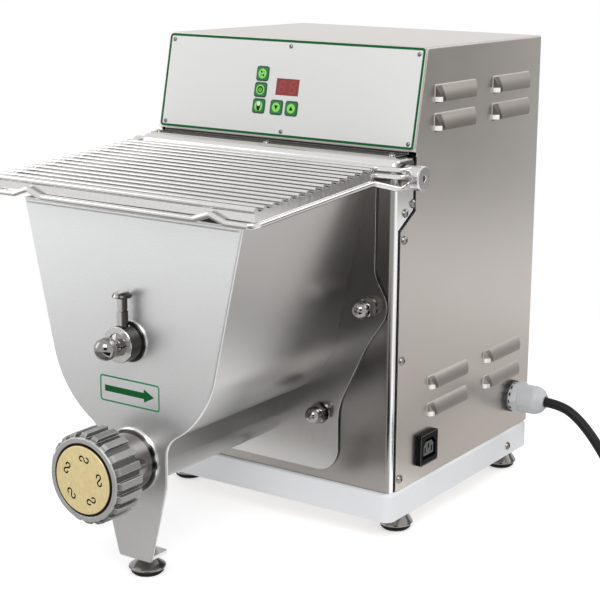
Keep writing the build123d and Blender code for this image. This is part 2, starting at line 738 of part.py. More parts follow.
def make_mixing_shaft():
    """Shaft through the bowl, with the socket that runs on the spigot."""
    socket_y = plate_back_y + 1.8
    bore = spigot_radius + running_clearance
    return turned_y([(bore, socket_y), (13.5, socket_y), (13.5, socket_y + 20), (shaft_radius, socket_y + 24),
                     (shaft_radius, shaft_end_y), (0, shaft_end_y), (0, socket_y + 17), (bore, socket_y + 17)],
                    0, mixer_z)


def make_mixing_paddles():
    """Arms along the mixing shaft, a quarter turn apart, each with a twisted blade."""
    paddles = []
    first, last = plate_back_y + 42, flange_y - 26
    for k in range(arm_count):
        y = first + (last - first) * k / (arm_count - 1)
        collar = rod_y(15.0, y - 9, y + 9) - rod_y(shaft_radius, y - 10, y + 10)
        arm = rod_z(5.5, 14.0, arm_reach - 8, 0, y)
        blade = Pos(0, y, arm_reach - 9) * Rot(0, 0, 38) * Box(34, 3.2, 22)
        blade = fillet(blade.edges().filter_by(lambda e: abs(e.length - 3.2) < 0.01), 6)
        turn = Pos(0, 0, mixer_z) * Rot(0, 45 + 90 * k, 0)
        paddles.append(turn * (collar + arm + blade))
    return group(paddles)


def make_drive_plates():
    """Thick plates in front of and behind the gears, bored for the bearings."""
    low, high = tray_top + 10, mixer_z + 78
    front = block(-70, 70, drive_front_y, drive_front_y + drive_wall, low, high)
    rear = block(-92, 70, drive_rear_y, drive_rear_y + drive_wall, low, high)
    for z in (auger_z, mixer_z):
        front -= rod_y(bearing_radius, drive_front_y + 0.5, drive_front_y + drive_wall + 1, 0, z)
        front -= rod_y(shaft_radius + 2, drive_front_y - 1, drive_front_y + 2, 0, z)
        rear -= rod_y(bearing_radius, drive_rear_y - 1, drive_rear_y + drive_wall + 1, 0, z)
    for x, z in stud_places:
        front -= both_sides(rod_y(8.0, drive_front_y - 1, drive_front_y + drive_wall + 1, x, z))
    rear -= rod_y(pinion_shaft + 5, drive_rear_y - 1, drive_rear_y + drive_wall + 1, pinion_x, pinion_z)
    return front, rear


bearing_radius = 21.0


def make_shaft_bearings():
    """Ball bearings of both shafts, two each."""
    rings = []
    for z in (auger_z, mixer_z):
        for y0 in (drive_front_y + 0.6, drive_rear_y + 0.3):
            width = drive_wall - 0.8
            ring = rod_y(bearing_radius - 0.02, y0, y0 + width, 0, z)
            rings.append(ring - rod_y(shaft_radius + running_clearance, y0 - 1, y0 + width + 1, 0, z))
    return group(rings)


def make_drive_spacers():
    """Distance pieces that hold the drive plates apart."""
    low, high = tray_top + 10, mixer_z + 78
    pieces = []
    for x in (-60.0, 60.0):
        for z in (low + 12, high - 12):
            pieces.append(rod_y(7, drive_front_y + drive_wall, drive_rear_y, x, z))
    return group(pieces)


reducer_depth = 60.0
motor_length = 114.0
motor_radius = 56.0


def make_reducer_case():
    """Cast case of the reduction gear, bolted to the rear drive plate."""
    y0 = drive_rear_y + drive_wall
    case = block(pinion_x - 50, pinion_x + 49, y0, y0 + reducer_depth, pinion_z - 55, pinion_z + 55)
    case = fillet(case.edges().filter_by(Axis.Y), 14)
    case += rod_y(44, y0 + reducer_depth, y0 + reducer_depth + 8, pinion_x, pinion_z)
    return case - rod_y(pinion_shaft + running_clearance, y0 - 1, y0 + 14, pinion_x, pinion_z)


def make_motor():
    """Finned motor with its fan cowl, standing on two feet."""
    y0 = drive_rear_y + drive_wall + reducer_depth + 8
    y1 = y0 + motor_length
    motor = rod_y(motor_radius - 6, y0, y1 - 24, pinion_x, pinion_z)
    for k in range(20):
        fin = block(motor_radius - 8, motor_radius, y0 + 8, y1 - 26, -1.2, 1.2)
        motor += Pos(pinion_x, 0, pinion_z) * Rot(0, k * 18 + 9, 0) * fin
    motor += rod_y(motor_radius + 1, y1 - 26, y1, pinion_x, pinion_z)
    for y in (y0 + 18, y1 - 44):
        motor += block(pinion_x - 40, pinion_x + 40, y, y + 16, tray_top, pinion_z - 30)
    motor += block(pinion_x + 20, pinion_x + 78, y0 + 14, y0 + 70, pinion_z + 30, pinion_z + 66)
    return motor


def make_drive_pinion():
    """Pinion on the reduction gear's output shaft."""
    y0 = gear_y - 0.5
    y1 = gear_y + gear_width + 0.5
    phase = pinion_angle + 180 + 180 / pinion_teeth
    wheel = gear(pinion_teeth, pinion_shaft, phase, pinion_x, pinion_z, y0, y1)
    return wheel + rod_y(pinion_shaft, y0, drive_rear_y + drive_wall + 12, pinion_x, pinion_z)


def make_power_unit():
    """Motor controller on the tray."""
    x0, y0 = 52.0, column_y + 120
    unit = block(x0, x0 + 76, y0, y0 + 96, tray_top, tray_top + 62)
    for k in range(9):
        unit += block(x0 + 4 + k * 8, x0 + 6.5 + k * 8, y0 + 4, y0 + 92, tray_top + 62, tray_top + 76)
    return unit


# ---------------------------------------------------------------- spigot and lock pin
boss_radius = 16.0
boss_length = 17.0
slot_half = 4.3
pin_radius = 3.2
pin_seat = mixer_z + 14.5


def make_spigot_boss():
    """Boss on the front plate that guides the spigot and the lock pin."""
    front = plate_y - boss_length
    bore = spigot_radius + running_clearance
    boss = turned_y([(bore, plate_y), (18.3, plate_y), (18.3, plate_y - 1.8), (17.6, plate_y - 2.5),
                     (boss_radius, plate_y - 2.5), (boss_radius, front + 0.6), (boss_radius - 0.6, front),
                     (10.4, front), (10.4, front + 2), (bore, front + 2)], 0, mixer_z)
    boss -= rod_z(6.0, pin_seat, mixer_z + 30, 0, lock_pin_y)
    return boss - rod_z(pin_radius + running_clearance, mixer_z + 1, mixer_z + 30, 0, lock_pin_y)


def make_spigot():
    """Sliding spigot that carries the mixing shaft's front end, with its ball handle."""
    front = plate_y - boss_length
    ball_y, ball_radius = plate_y - 31.5, 10.25
    body = turned_y([(0, plate_back_y + 15), (spigot_radius - 1, plate_back_y + 15),
                     (spigot_radius, plate_back_y + 14), (spigot_radius, front + 1.9), (9.9, front + 1.9),
                     (9.9, front + 0.8), (6.2, front - 0.6),
                     (6.2, front - 2.2), (4.3, front - 3.4), (4.3, ball_y + 5), (0, ball_y + 5)], 0, mixer_z)
    ball = Pos(0, ball_y, mixer_z) * Rot(90, 0, 0) * Sphere(ball_radius)
    slot = block(-slot_half, slot_half, lock_pin_y - slot_half, lock_pin_y + slot_half + spigot_travel,
                 mixer_z + 2.5, mixer_z + 12)
    return body + ball - slot


def make_lock_pin():
    """Mushroom-headed pin that stands in the spigot's slot."""
    low = mixer_z + 3.0
    seat = pin_seat + running_clearance
    head = seat + 26.0
    points = [(0, low), (pin_radius - 0.6, low), (pin_radius, low + 0.6), (pin_radius, seat), (4.9, seat),
              (4.9, seat + 14), (4.0, seat + 14.4), (4.0, seat + 15.6), (4.4, seat + 16), (4.4, head - 1),
              (5.4, head), (8.3, head + 0.2), (8.8, head + 1.2), (8.0, head + 3.0), (5.0, head + 4.6),
              (0, head + 5.1)]
    return turned_z(points, 0, lock_pin_y)


# ---------------------------------------------------------------- lid
lid_slope = (lid_rear_height - lid_front_height) / (lid_front - lid_rear)
bar_thickness = 2.5
bar_top, bar_low = 1.5, 9.2  # under the cross wires' centres


def lid_height(y):
    """Height of the cross wires' centres."""
    return lid_front_height + (y + lid_front) * lid_slope


def hub_solid():
    """The right hub's outer shape, to end the wires on its surface."""
    return rod_x(hub_radius, column_half + 2.2, hub_reach, hinge_y, hinge_height)


def make_lid_grid():
    """Welded grid: cross wires on two flat side bars and a front bar, with the tails to the hubs."""

    def bar(y0, y1):
        return make_face(Polyline((y0, lid_height(y0) - bar_low), (y1, lid_height(y1) - bar_low),
                                  (y1, lid_height(y1) - bar_top), (y0, lid_height(y0) - bar_top), close=True))

    inner = lid_half_width - bar_thickness
    grid = both_sides(slab_x(bar(-lid_front - 1.2, -lid_rear + 2), inner, lid_half_width))
    grid += slab_x(bar(-lid_front - 1.2, -lid_front + 1.2), -inner, inner)
    count = int((lid_front - lid_rear) / wire_pitch) + 1
    for k in range(count):
        y = -lid_front + k * wire_pitch
        radius = loop_radius if k == 0 else wire_radius
        grid += rod_x(radius, -lid_half_width, lid_half_width, y, lid_height(y))
    tail_z = lid_height(-lid_rear) - 5.5
    tail = wire([(lid_half_width - 1.2, -lid_rear - 2, tail_z), (lid_half_width - 1.2, -lid_rear + 5, tail_z),
                 (155.0, column_y - 2, hinge_height + 2.5), (156.0, hinge_y - 6, hinge_height + 2.5)],
                [8, 12], 2.4)
    return grid + both_sides(tail - hub_solid())


def make_lid_loop():
    """Bent wire under the grid, with two humps at the front that carry the front wire."""

    def low(y):
        return lid_height(y) - loop_drop

    front = -lid_front - 1.25 - loop_radius
    hump = lid_height(-lid_front) - loop_radius - 0.9
    lower = low(front)
    half = [(156.0, hinge_y - 6, hinge_height - 6.0), (155.0, column_y - 4, hinge_height - 8.0),
            (lid_half_width, -lid_rear, low(-lid_rear)), (lid_half_width, front, lower),
            (116.0, front, lower), (100.0, front, hump - 3), (84.0, front, lower)]
    radii = [12, 14, 9, 7, 6, 7]
    points = half + [(-x, y, z) for x, y, z in reversed(half)]
    return wire(points, radii + list(reversed(radii)), loop_radius) - both_sides(hub_solid())


def make_lid_yoke():
    """Rear cross wire, bent back to the tops of both hubs."""
    y = -lid_rear + 5.5
    half = [(156.0, hinge_y - 6, hinge_height + 8.5), (154.5, column_y - 1, hinge_height + 8.5),
            (lid_half_width, y, lid_height(y) + 0.4)]
    points = half + [(-x, py, z) for x, py, z in reversed(half)]
    return wire(points, [12, 5, 5, 12], 2.2) - both_sides(hub_solid())


shaft_end_x = hub_reach - 5.0


def make_lid_hubs():
    """Turned hinge knobs, one at each side."""
    inner_x = column_half + 2.2
    hub = turned_x([(inner_x, 5.0), (inner_x, hub_radius), (hub_reach - 1.2, hub_radius),
                    (hub_reach, hub_radius - 1.2), (hub_reach, 3.2), (hub_reach - 0.5, 2.7), (shaft_end_x, 2.7),
                    (shaft_end_x, 5.0)], hinge_y, hinge_height)
    return group([hub, mirror(hub, about=Plane.YZ)])


def make_lid_shafts():
    """Hinge shafts fixed in the hubs, the left one with the cam of the lid switch."""
    inner_x = column_half - 16
    shaft = turned_x([(inner_x, 0), (inner_x, 5.0), (shaft_end_x, 5.0), (shaft_end_x, 0)], hinge_y, hinge_height)
    left = mirror(shaft, about=Plane.YZ)
    cam = rod_x(9.0, -inner_x - 6, -inner_x, hinge_y, hinge_height)
    cam -= block(-inner_x - 7, -inner_x + 1, hinge_y + 6, hinge_y + 12, hinge_height - 12, hinge_height + 12)
    return group([shaft, left + cam])


def make_hinge_bushes():
    """Flanged bushes in the column's sides."""
    wall_in = column_half - column_wall
    bore = 5.0 + running_clearance
    bush = turned_x([(wall_in - 2, bore), (wall_in - 2, 8.0), (column_half, 8.0), (column_half, 10.0),
                     (column_half + 1.9, 10.0), (column_half + 1.9, bore)], hinge_y, hinge_height)
    return group([bush, mirror(bush, about=Plane.YZ)])


def make_lid_switch():
    """Safety switch under the cam of the left hinge shaft."""
    wall_in = column_half - column_wall
    body = block(-wall_in, -wall_in + 26, hinge_y - 6, hinge_y + 16, hinge_height - 34, hinge_height - 13)
    cam_x = -(column_half - 16) - 3
    plunger = rod_z(2.0, hinge_height - 13, hinge_height - 9.3, cam_x, hinge_y)
    return body + plunger


# ---------------------------------------------------------------- electrical fittings
outlet_body = 26.0
outlet_flange_w, outlet_flange_h = 33.0, 31.0
outlet_stand = 5.0
gland_thread = 12.0


def make_accessory_outlet():
    """Female mains outlet for an accessory: a collar round an island with three slots."""
    x0 = half_width
    face = x0 + outlet_stand
    flange = block(x0, face, outlet_y - outlet_flange_w / 2, outlet_y + outlet_flange_w / 2,
                   outlet_height - outlet_flange_h / 2, outlet_height + outlet_flange_h / 2)
    flange = fillet(flange.edges().filter_by(Axis.X), 2.5)
    inset = 0.2
    half = outlet_body / 2 - inset
    flange += block(x0 - 22, x0, outlet_y - half, outlet_y + half, outlet_height - half + 1,
                    outlet_height + half - 1)

    def keyed(width, height, corner):
        w, h = width / 2, height / 2
        return make_face(Polyline((-w, -h), (w, -h), (w, h - corner), (w - corner, h), (-w + corner, h),
                                  (-w, h - corner), close=True))

    ring = Pos(outlet_y, outlet_height) * (keyed(24.5, 19.5, 5.5) - keyed(18.6, 13.6, 4.0))
    outlet = flange - slab_x(ring, face - 17, face + 1)
    outlet -= slab_x(Pos(outlet_y, outlet_height) * keyed(18.7, 13.7, 4.0), face - 1.0, face + 1)
    for dy, dz in ((-6.0, -1.6), (0.0, 2.0), (6.0, -1.6)):
        outlet -= slab_x(Pos(outlet_y + dy, outlet_height + dz) * Rectangle(2.2, 5.4), face - 14, face + 1)
    return outlet


gland_mouth_x = half_width + 40.0
cable_start_x = gland_mouth_x - 6.0


def make_cable_gland():
    """Grey plastic gland body: flange, collar and hexagon, with its nut inside the wall."""
    x0 = half_width
    wall_in = x0 - cover_wall
    body = rod_x(16.8, x0, x0 + 3, gland_y, gland_height)
    body += rod_x(15.0, x0 + 3, x0 + 6.5, gland_y, gland_height)
    hexagon = RegularPolygon(15.6, 6, major_radius=False)
    body += slab_x(Pos(gland_y, gland_height) * hexagon, x0 + 6.5, x0 + 13.5)
    body += rod_x(gland_thread - 0.1, wall_in - 9, x0, gland_y, gland_height)
    lock_hexagon = RegularPolygon(15.0, 6, major_radius=False)
    lock = slab_x(Pos(gland_y, gland_height) * lock_hexagon, wall_in - 5, wall_in)
    return body + lock


def make_gland_nut():
    """Domed clamping nut of the gland."""
    x0 = half_width + 13.6
    outer = [(x0, 14.9), (x0 + 15, 14.9), (x0 + 18.5, 14.2), (x0 + 22.5, 12.2), (gland_mouth_x - 1.4, 9.0),
             (gland_mouth_x, 7.6), (gland_mouth_x, cable_radius + 0.2), (cable_start_x, cable_radius + 0.2),
             (cable_start_x, 0), (x0, 0)]
    nut = turned_x(outer, gland_y, gland_height)
    hexagon = RegularPolygon(14.4, 6, major_radius=False)
    flats = slab_x(Pos(gland_y, gland_height) * hexagon, x0, gland_mouth_x + 1)
    return nut & flats


coil_outer_turn = 66.3
coil_inner_turn = 55.7
coil_x = 374.0
coil_layers = (5.2, 15.6)
coil_y = gland_y - 6.3 - coil_outer_turn
coil_stub = 38.0
tail_stub = 38.0
cable_points = [
    (cable_start_x, gland_y, gland_height),
    (204.0, gland_y, gland_height),
    (223.7, gland_y - 0.2, 80.8),
    (246.0, gland_y - 1.2, 60.7),
    (266.9, gland_y - 3.0, 33.9),
    (292.0, gland_y - 5.0, 15.1),
    (323.0, gland_y - 6.3, 5.2),
    (coil_x - coil_stub, gland_y - 6.3, 5.2),
]
plug_y = coil_y - 65.0
plug_axis_z = 17.8
tail_points = [
    (coil_x + coil_outer_turn, coil_y - tail_stub, 15.6),
    (coil_x + coil_outer_turn, coil_y - 44.0, 15.6),
    (coil_x + coil_outer_turn, coil_y - 58.0, plug_axis_z),
    (coil_x + coil_outer_turn, plug_y, plug_axis_z),
]


def bend_radii(points):
    """Radius at each inner point: as large as the two runs beside it allow."""
    radii = []
    for before, here, after in zip(points, points[1:], points[2:]):
        first, second = Vector(here) - Vector(before), Vector(after) - Vector(here)
        half_turn = math.radians(first.get_angle(second)) / 2
        radii.append(0.45 * min(first.length, second.length) / math.tan(half_turn))
    return radii


def cable_tube(name, points):
    """A stretch of the mains cable: straight runs with tangent arcs."""
    radii = bend_radii(points)
    path = FilletPolyline(*points, radius=radii)
    start = Plane(origin=path @ 0, z_dir=path % 0)
    tube = sweep(start * Circle(cable_radius), path=path)
    expected = math.pi * cable_radius ** 2 * path.length
    print(name, "radii", [round(r, 1) for r in radii], "length", round(path.length, 1),
          "volume / section x length", round(tube.volume / expected, 4))
    return tube


def make_cord_coil():
    """Outer shape of the wound cable, with the two straight ends that leave it."""
    inner, outer = coil_inner_turn - cable_radius - 0.1, coil_outer_turn + cable_radius + 0.1
    top = coil_layers[1] + cable_radius + 0.1
    ring = turned_z([(inner, 2.5), (inner + 2.5, 0), (outer - 2.5, 0), (outer, 2.5), (outer, top - 2.5),
                     (outer - 2.5, top), (inner + 2.5, top), (inner, top - 2.5)], coil_x, coil_y)
    lead_in = rod_x(cable_radius, coil_x - coil_stub, coil_x, coil_y + coil_outer_turn, coil_layers[0])
    lead_out = rod_y(cable_radius, coil_y - tail_stub, coil_y, coil_x + coil_outer_turn, coil_layers[1])
    return ring + lead_in + lead_out


def make_mains_plug():
    """Round two-pin earthed plug with its tapered strain relief, lying beside the coil."""
    x = coil_x + coil_outer_turn
    z = plug_axis_z
    y = plug_y
    body = turned_y([(0, y), (6.2, y), (9.0, y - 28), (13.6, y - 31), (17.2, y - 38), (17.2, y - 57), (17.7, y - 60),
                     (17.0, y - 66), (0, y - 66)], x, z)
    pins = [rod_y(2.4, y - 84, y - 66, x + dx, z) for dx in (-9.5, 9.5)]
    return group([body] + pins)


# ---------------------------------------------------------------- write every node
drive_plate_front, drive_plate_rear = make_drive_plates()
nodes = {
    "base_tray": make_base_tray(),
    "bottom_plate": make_bottom_plate(),
    "foot_cones": group(foot_cone(x, y, foot_height + 1.0, foot_height + 14) for x, y in foot_places),
    "foot_pads": group(foot_pad(x, y) for x, y in foot_places),
    "front_column": make_front_column(),
    "housing_cover": make_housing_cover(),
    "rear_panel": make_rear_panel(),
    "housing_screws": make_housing_screws(),
    "control_overlay": make_control_overlay(),
    "panel_screws": make_panel_screws(),
    "display_window": make_display_window(),
    "control_board": make_control_board(),
    "bowl_flange": make_bowl_flange(),
    "bowl_shell": make_bowl_shell(),
    "bowl_front_plate": make_bowl_front_plate(),
    "leg_foot_nut": make_leg_foot_nut(),
    "leg_foot_cone": foot_cone(0, foot_axis_y, tab_low - seat_gap, tab_low + 15.5),
    "leg_foot_pad": foot_pad(0, foot_axis_y),
    "auger_trough": make_auger_trough(),
    "barrel_head": make_barrel_head(),
    "spigot_boss": make_spigot_boss(),
    "dome_nuts": make_dome_nuts(),
    "flange_studs": make_flange_studs(),
    "drive_plate_front": drive_plate_front,
    "drive_plate_rear": drive_plate_rear,
    "drive_spacers": make_drive_spacers(),
    "shaft_bearings": make_shaft_bearings(),
    "reducer_case": make_reducer_case(),
    "motor": make_motor(),
    "power_unit": make_power_unit(),
    "drive_pinion": make_drive_pinion(),
    "auger": make_auger(),
    "auger_gear": gear(auger_teeth, shaft_radius, 90, 0, auger_z, gear_y, gear_y + gear_width),
    "mixing_shaft": make_mixing_shaft(),
    "mixing_paddles": make_mixing_paddles(),
    "mixer_gear": gear(mixer_teeth, shaft_radius, -90 + 180 / mixer_teeth, 0, mixer_z, gear_y,
                       gear_y + gear_width),
    "extrusion_die": make_extrusion_die(),
    "ring_nut": make_ring_nut(),
    "spigot": make_spigot(),
    "lock_pin": make_lock_pin(),
    "lid_grid": make_lid_grid(),
    "lid_loop": make_lid_loop(),
    "lid_yoke": make_lid_yoke(),
    "lid_hubs": make_lid_hubs(),
    "lid_shafts": make_lid_shafts(),
    "hinge_bushes": make_hinge_bushes(),
    "lid_switch": make_lid_switch(),
    "accessory_outlet": make_accessory_outlet(),
    "cable_gland": make_cable_gland(),
    "gland_nut": make_gland_nut(),
    "power_cord": cable_tube("power_cord", cable_points),
    "cord_coil": make_cord_coil(),
    "cord_tail": cable_tube("cord_tail", tail_points),
    "mains_plug": make_mains_plug(),
}
for name, place in zip(key_names, key_places):
    nodes[name] = make_key(*place)

for name, shape in nodes.items():
    export_step(shape, f"parts/{name}.step")
print(len(nodes), "nodes, origin to rear", round(tray_rear_y, 2), "auger height", auger_z, "mixer height",
      mixer_z)
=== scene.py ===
import math

import bmesh
import bpy
from mathutils import Matrix, Quaternion, Vector


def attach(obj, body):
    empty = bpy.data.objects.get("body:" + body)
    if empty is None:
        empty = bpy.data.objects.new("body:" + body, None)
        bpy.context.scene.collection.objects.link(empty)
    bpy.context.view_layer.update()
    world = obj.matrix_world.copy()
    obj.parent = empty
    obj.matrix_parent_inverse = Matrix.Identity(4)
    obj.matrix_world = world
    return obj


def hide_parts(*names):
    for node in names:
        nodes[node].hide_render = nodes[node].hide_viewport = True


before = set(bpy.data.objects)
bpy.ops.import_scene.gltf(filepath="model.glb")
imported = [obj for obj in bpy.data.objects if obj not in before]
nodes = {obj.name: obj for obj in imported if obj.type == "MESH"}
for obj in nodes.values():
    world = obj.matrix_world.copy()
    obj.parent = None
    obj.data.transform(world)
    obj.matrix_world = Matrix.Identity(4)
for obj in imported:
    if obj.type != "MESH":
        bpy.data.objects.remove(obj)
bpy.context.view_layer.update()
mm = 0.001  # flat prints are drawn in millimetres, everything else in metres
print("frame loaded:", len(nodes), "CAD nodes")


def addObject(name, data):
    made = bpy.data.objects.new(name, data)
    bpy.context.scene.collection.objects.link(made)
    return made


def addMesh(name, shape):
    data = bpy.data.meshes.new(name)
    shape.to_mesh(data)
    shape.free()
    return addObject(name, data)


# camera, low in front of the machine and to its right
viewer = {
    "place": (0.84568, -1.16309, 0.56220),
    "azimuth": 32.6,
    "elevation": 12.84,
    "roll": 0.85,
    "sensor": 36,
    "lens": 91.33,  # millimetres, as the sensor is
    "shift": (-0.0977, -0.0311),
}


def addCamera(s):
    azimuth, elevation, roll = (math.radians(s[key]) for key in ("azimuth", "elevation", "roll"))
    back = Vector((math.sin(azimuth) * math.cos(elevation), -math.cos(azimuth) * math.cos(elevation),
                   math.sin(elevation)))
    data = bpy.data.cameras.new("viewer")
    data.sensor_width = s["sensor"]
    data.lens = s["lens"]
    data.shift_x, data.shift_y = s["shift"]
    camera = addObject("viewer", data)
    camera.rotation_mode = "QUATERNION"
    camera.rotation_quaternion = back.to_track_quat("Z", "Y") @ Quaternion((0, 0, 1), roll)
    camera.location = s["place"]
    bpy.context.scene.camera = camera


addCamera(viewer)


# node tools
def plug(tree, value, socket):
    if isinstance(value, bpy.types.NodeSocket):
        tree.links.new(value, socket)
    else:
        socket.default_value = value


def addNode(tree, kind, inputs=None, **settings):
    made = tree.nodes.new("ShaderNode" + kind)
    for key, value in settings.items():
        setattr(made, key, value)
    for key, value in (inputs or {}).items():
        plug(tree, value, made.inputs[key])
    return made


def maths(tree, operation, *values, clamp=False):
    return addNode(tree, "Math", dict(enumerate(values)), operation=operation, use_clamp=clamp).outputs[0]


def coordinates(tree, place):
    return addNode(tree, "SeparateXYZ", {"Vector": place}).outputs


def startMaterial(name, colour, roughness, metallic=0.0):
    made = bpy.data.materials.new(name)
    made.use_nodes = True
    tree = made.node_tree
    shader = tree.nodes["Principled BSDF"]
    shader.inputs["Base Color"].default_value = (*colour, 1)
    shader.inputs["Roughness"].default_value = roughness
    shader.inputs["Metallic"].default_value = metallic
    place = addNode(tree, "TexCoord").outputs["Object"]
    return made, tree, shader, place


def shade(colour, factor):
    return tuple(min(1.0, c * factor) for c in colour) + (1,)


def noiseOf(tree, place, scale, detail, stretch=(1, 1, 1), rough=0.55):
    moved = addNode(tree, "Mapping", {"Vector": place, "Scale": stretch}).outputs[0]
    return addNode(tree, "TexNoise", {"Vector": moved, "Scale": scale, "Detail": detail,
                                      "Roughness": rough}).outputs["Fac"]


# low at start and high at end, which by default are the usual limits of a noise
def spread(tree, value, low, high, start=0.25, end=0.75):
    return addNode(tree, "MapRange", {"Value": value, "From Min": start, "From Max": end, "To Min": low,
                                      "To Max": high}).outputs[0]


def mixColours(tree, fac, first, second, blend="MIX"):
    mixed = addNode(tree, "Mix", {"Factor": fac}, data_type="RGBA", blend_type=blend)
    sockets = [s for s in mixed.inputs if s.type == "RGBA"]
    plug(tree, first, sockets[0])
    plug(tree, second, sockets[1])
    return [s for s in mixed.outputs if s.type == "RGBA"][0]


# rounded corners of a hard edge, and a mask of where they are, from how far the normal leaves the flat
edges = {
    "samples": 4,
    "flat": 0.98,
    "round": 0.80,
}


def edgeOf(tree, radius):
    rounded = addNode(tree, "Bevel", {"Radius": radius}, samples=edges["samples"]).outputs[0]
    flat = addNode(tree, "NewGeometry").outputs["True Normal"]
    facing = addNode(tree, "VectorMath", {0: rounded, 1: flat}, operation="DOT_PRODUCT").outputs["Value"]
    return rounded, spread(tree, facing, 0, 1, edges["flat"], edges["round"])


# masks: each maker gives a function of a material's tree and its Object coordinates, which is 0 at start
# and 1 at end; a band runs along one axis
def band(axis, start, end):
    def mask(tree, place):
        limits = {"Value": coordinates(tree, place)[axis], "From Min": start, "From Max": end}
        return addNode(tree, "MapRange", limits, interpolation_type="SMOOTHSTEP").outputs[0]
    return mask


# by the distance from the middle, the same on the left and the right
def outwards(start, end):
    def mask(tree, place):
        across = maths(tree, "ABSOLUTE", coordinates(tree, place)["X"])
        return spread(tree, across, 0, 1, start, end)
    return mask


# by the distance from an axis along Y, which stands at X and Z
def around(axis, start, end):
    def mask(tree, place):
        moved = addNode(tree, "Mapping", {"Vector": place, "Location": (-axis[0], 0, -axis[1]),
                                          "Scale": (1, 0, 1)}).outputs[0]
        reach = addNode(tree, "VectorMath", {0: moved}, operation="LENGTH").outputs["Value"]
        return spread(tree, reach, 0, 1, start, end)
    return mask


# inside boxes: their middles along X, Y and Z and their half sizes, the same on the left and the right
def inBoxes(middles, halves):
    def mask(tree, place):
        parts = coordinates(tree, place)
        across = maths(tree, "ABSOLUTE", parts["X"])
        whole = 1.0
        for value, places, half in zip((across, parts["Y"], parts["Z"]), middles, halves):
            inside = 0.0
            for middle in places:
                inside = maths(tree, "ADD", maths(tree, "COMPARE", value, middle, half), inside)
            whole = maths(tree, "MULTIPLY", inside, whole)
        return whole
    return mask


def bothOf(first, second):
    return lambda tree, place: maths(tree, "MULTIPLY", first(tree, place), second(tree, place))


def eitherOf(first, second):
    return lambda tree, place: maths(tree, "MAXIMUM", first(tree, place), second(tree, place))


# housing: painted shade on the ledge between the control panel and the column, and painted shade and
# painted highlights on the pressed louvres outside the sides
louvre = {
    "columns": (0.08785, 0.20085),  # middles along Y
    "lowerRows": (0.112, 0.139),  # lower edges
    "upperRows": (0.387, 0.4135),
    "hood": 0.1535,  # middle of the hoods along X
    # end: a painted shade on each hood's front end; corner: a painted highlight at its lower front corner
    "end": (0.0332, 0.0075, (0.0027, 0.0054, 0.0090)),
    "corner": (0.0356, 0.0020, (0.0029, 0.0029, 0.0026)),
}
ledgeShade = inBoxes(((0,), (0.00665,), (0.3684,)), (0.1478, 0.01115, 0.0019))
louvreHoodShade = outwards(0.1501, 0.1509)
upperLouvreHoodShade = bothOf(louvreHoodShade, band("Z", 0.25, 0.35))


# a part of each louvre's front, with painted shade on its end or a painted highlight at its corner: ahead
# of its middle, above its lower edge, and the half sizes
def louvreEndShadeAndGlint(rows, part):
    ahead, up, halves = louvre[part]
    columns = [y - ahead for y in louvre["columns"]]
    return inBoxes(((louvre["hood"],), columns, [z + up for z in louvre[rows]]), halves)


# front column: a painted highlight on the fold along its top and on its sides, held back at their upper
# ends
columnFoldHighlight = band("Z", 0.351, 0.356)
columnSideHighlight = outwards(0.1468, 0.1478)
columnSideHighlightEnds = bothOf(columnSideHighlight, band("Z", 0.342, 0.350))

# bowl: painted light on the shell towards the flange and painted shade towards the trough, painted shade on
# the flange's upper part and a painted shadow along its front edge
shellRearLight = band("Y", -0.14, -0.03)
shellLowShade = band("Z", 0.190, 0.150)
flangeTopShade = band("Z", 0.09, 0.27)
flangeEdgeShadow = band("Y", -0.01700, -0.01665)

# outlet end: painted shade on the ring nut behind its front, in its grooves and on the wall of its opening,
# a bright painted highlight on the ring of the neck, and painted shade on the die behind its front, which
# is also the inside of its slots
augerAxis = (0, 0.111)
nutSideShade = band("Y", -0.26560, -0.26420)
nutGrooveShade = bothOf(around(augerAxis, 0.0390, 0.0372), band("Y", -0.26555, -0.2645))
nutHollowShade = eitherOf(nutGrooveShade, around(augerAxis, 0.0325, 0.0322))
neckRingHighlight = bothOf(around(augerAxis, 0.0284, 0.0287), band("Y", -0.2120, -0.2100))
dieSideShade = band("Y", -0.26725, -0.26660)

# front bearing: painted shade on the boss's turned side between its front and its flange, and on the sides
# of the pin's stem
spigotAxis = (0, 0.2185)
bossLength = bothOf(band("Y", -0.22020, -0.21970), band("Y", -0.20440, -0.20500))
bossSideShade = bothOf(around(spigotAxis, 0.0150, 0.0157), bossLength)
pinSideShade = outwards(0.0016, 0.0034)

# cable gland: a dark washer at the wall, partly its black seal and partly painted shade, and painted shade
# in slots round the washer and round the ring beside it
gland = {
    "axis": (0.22835, 0.088),
    "washerFace": 0.1531,
    "slots": 12.0,
    "slotEdge": 0.1,
    "rings": ((0.1516, 0.0008), (0.1548, 0.0010)),
}


def glandWasherSealAndShade(tree, place):
    return maths(tree, "LESS_THAN", coordinates(tree, place)["X"], gland["washerFace"])


def glandSlotShade(tree, place):
    parts = coordinates(tree, place)
    sideways = maths(tree, "SUBTRACT", parts["Y"], gland["axis"][0])
    upwards = maths(tree, "SUBTRACT", parts["Z"], gland["axis"][1])
    angle = maths(tree, "ARCTAN2", upwards, sideways)
    waves = maths(tree, "SINE", maths(tree, "MULTIPLY", angle, gland["slots"]))
    slots = maths(tree, "GREATER_THAN", waves, gland["slotEdge"])
    rings = 0.0
    for middle, half in gland["rings"]:
        rings = maths(tree, "ADD", maths(tree, "COMPARE", parts["X"], middle, half), rings)
    return maths(tree, "MULTIPLY", slots, rings)


def fadeIn(tree, place, colour, fades):
    for mask, second in fades:
        colour = mixColours(tree, mask(tree, place), colour, (*second, 1))
    return colour


reliefDepth = 0.0001  # of every bump at a strength of 1
white = (1, 1, 1, 1)
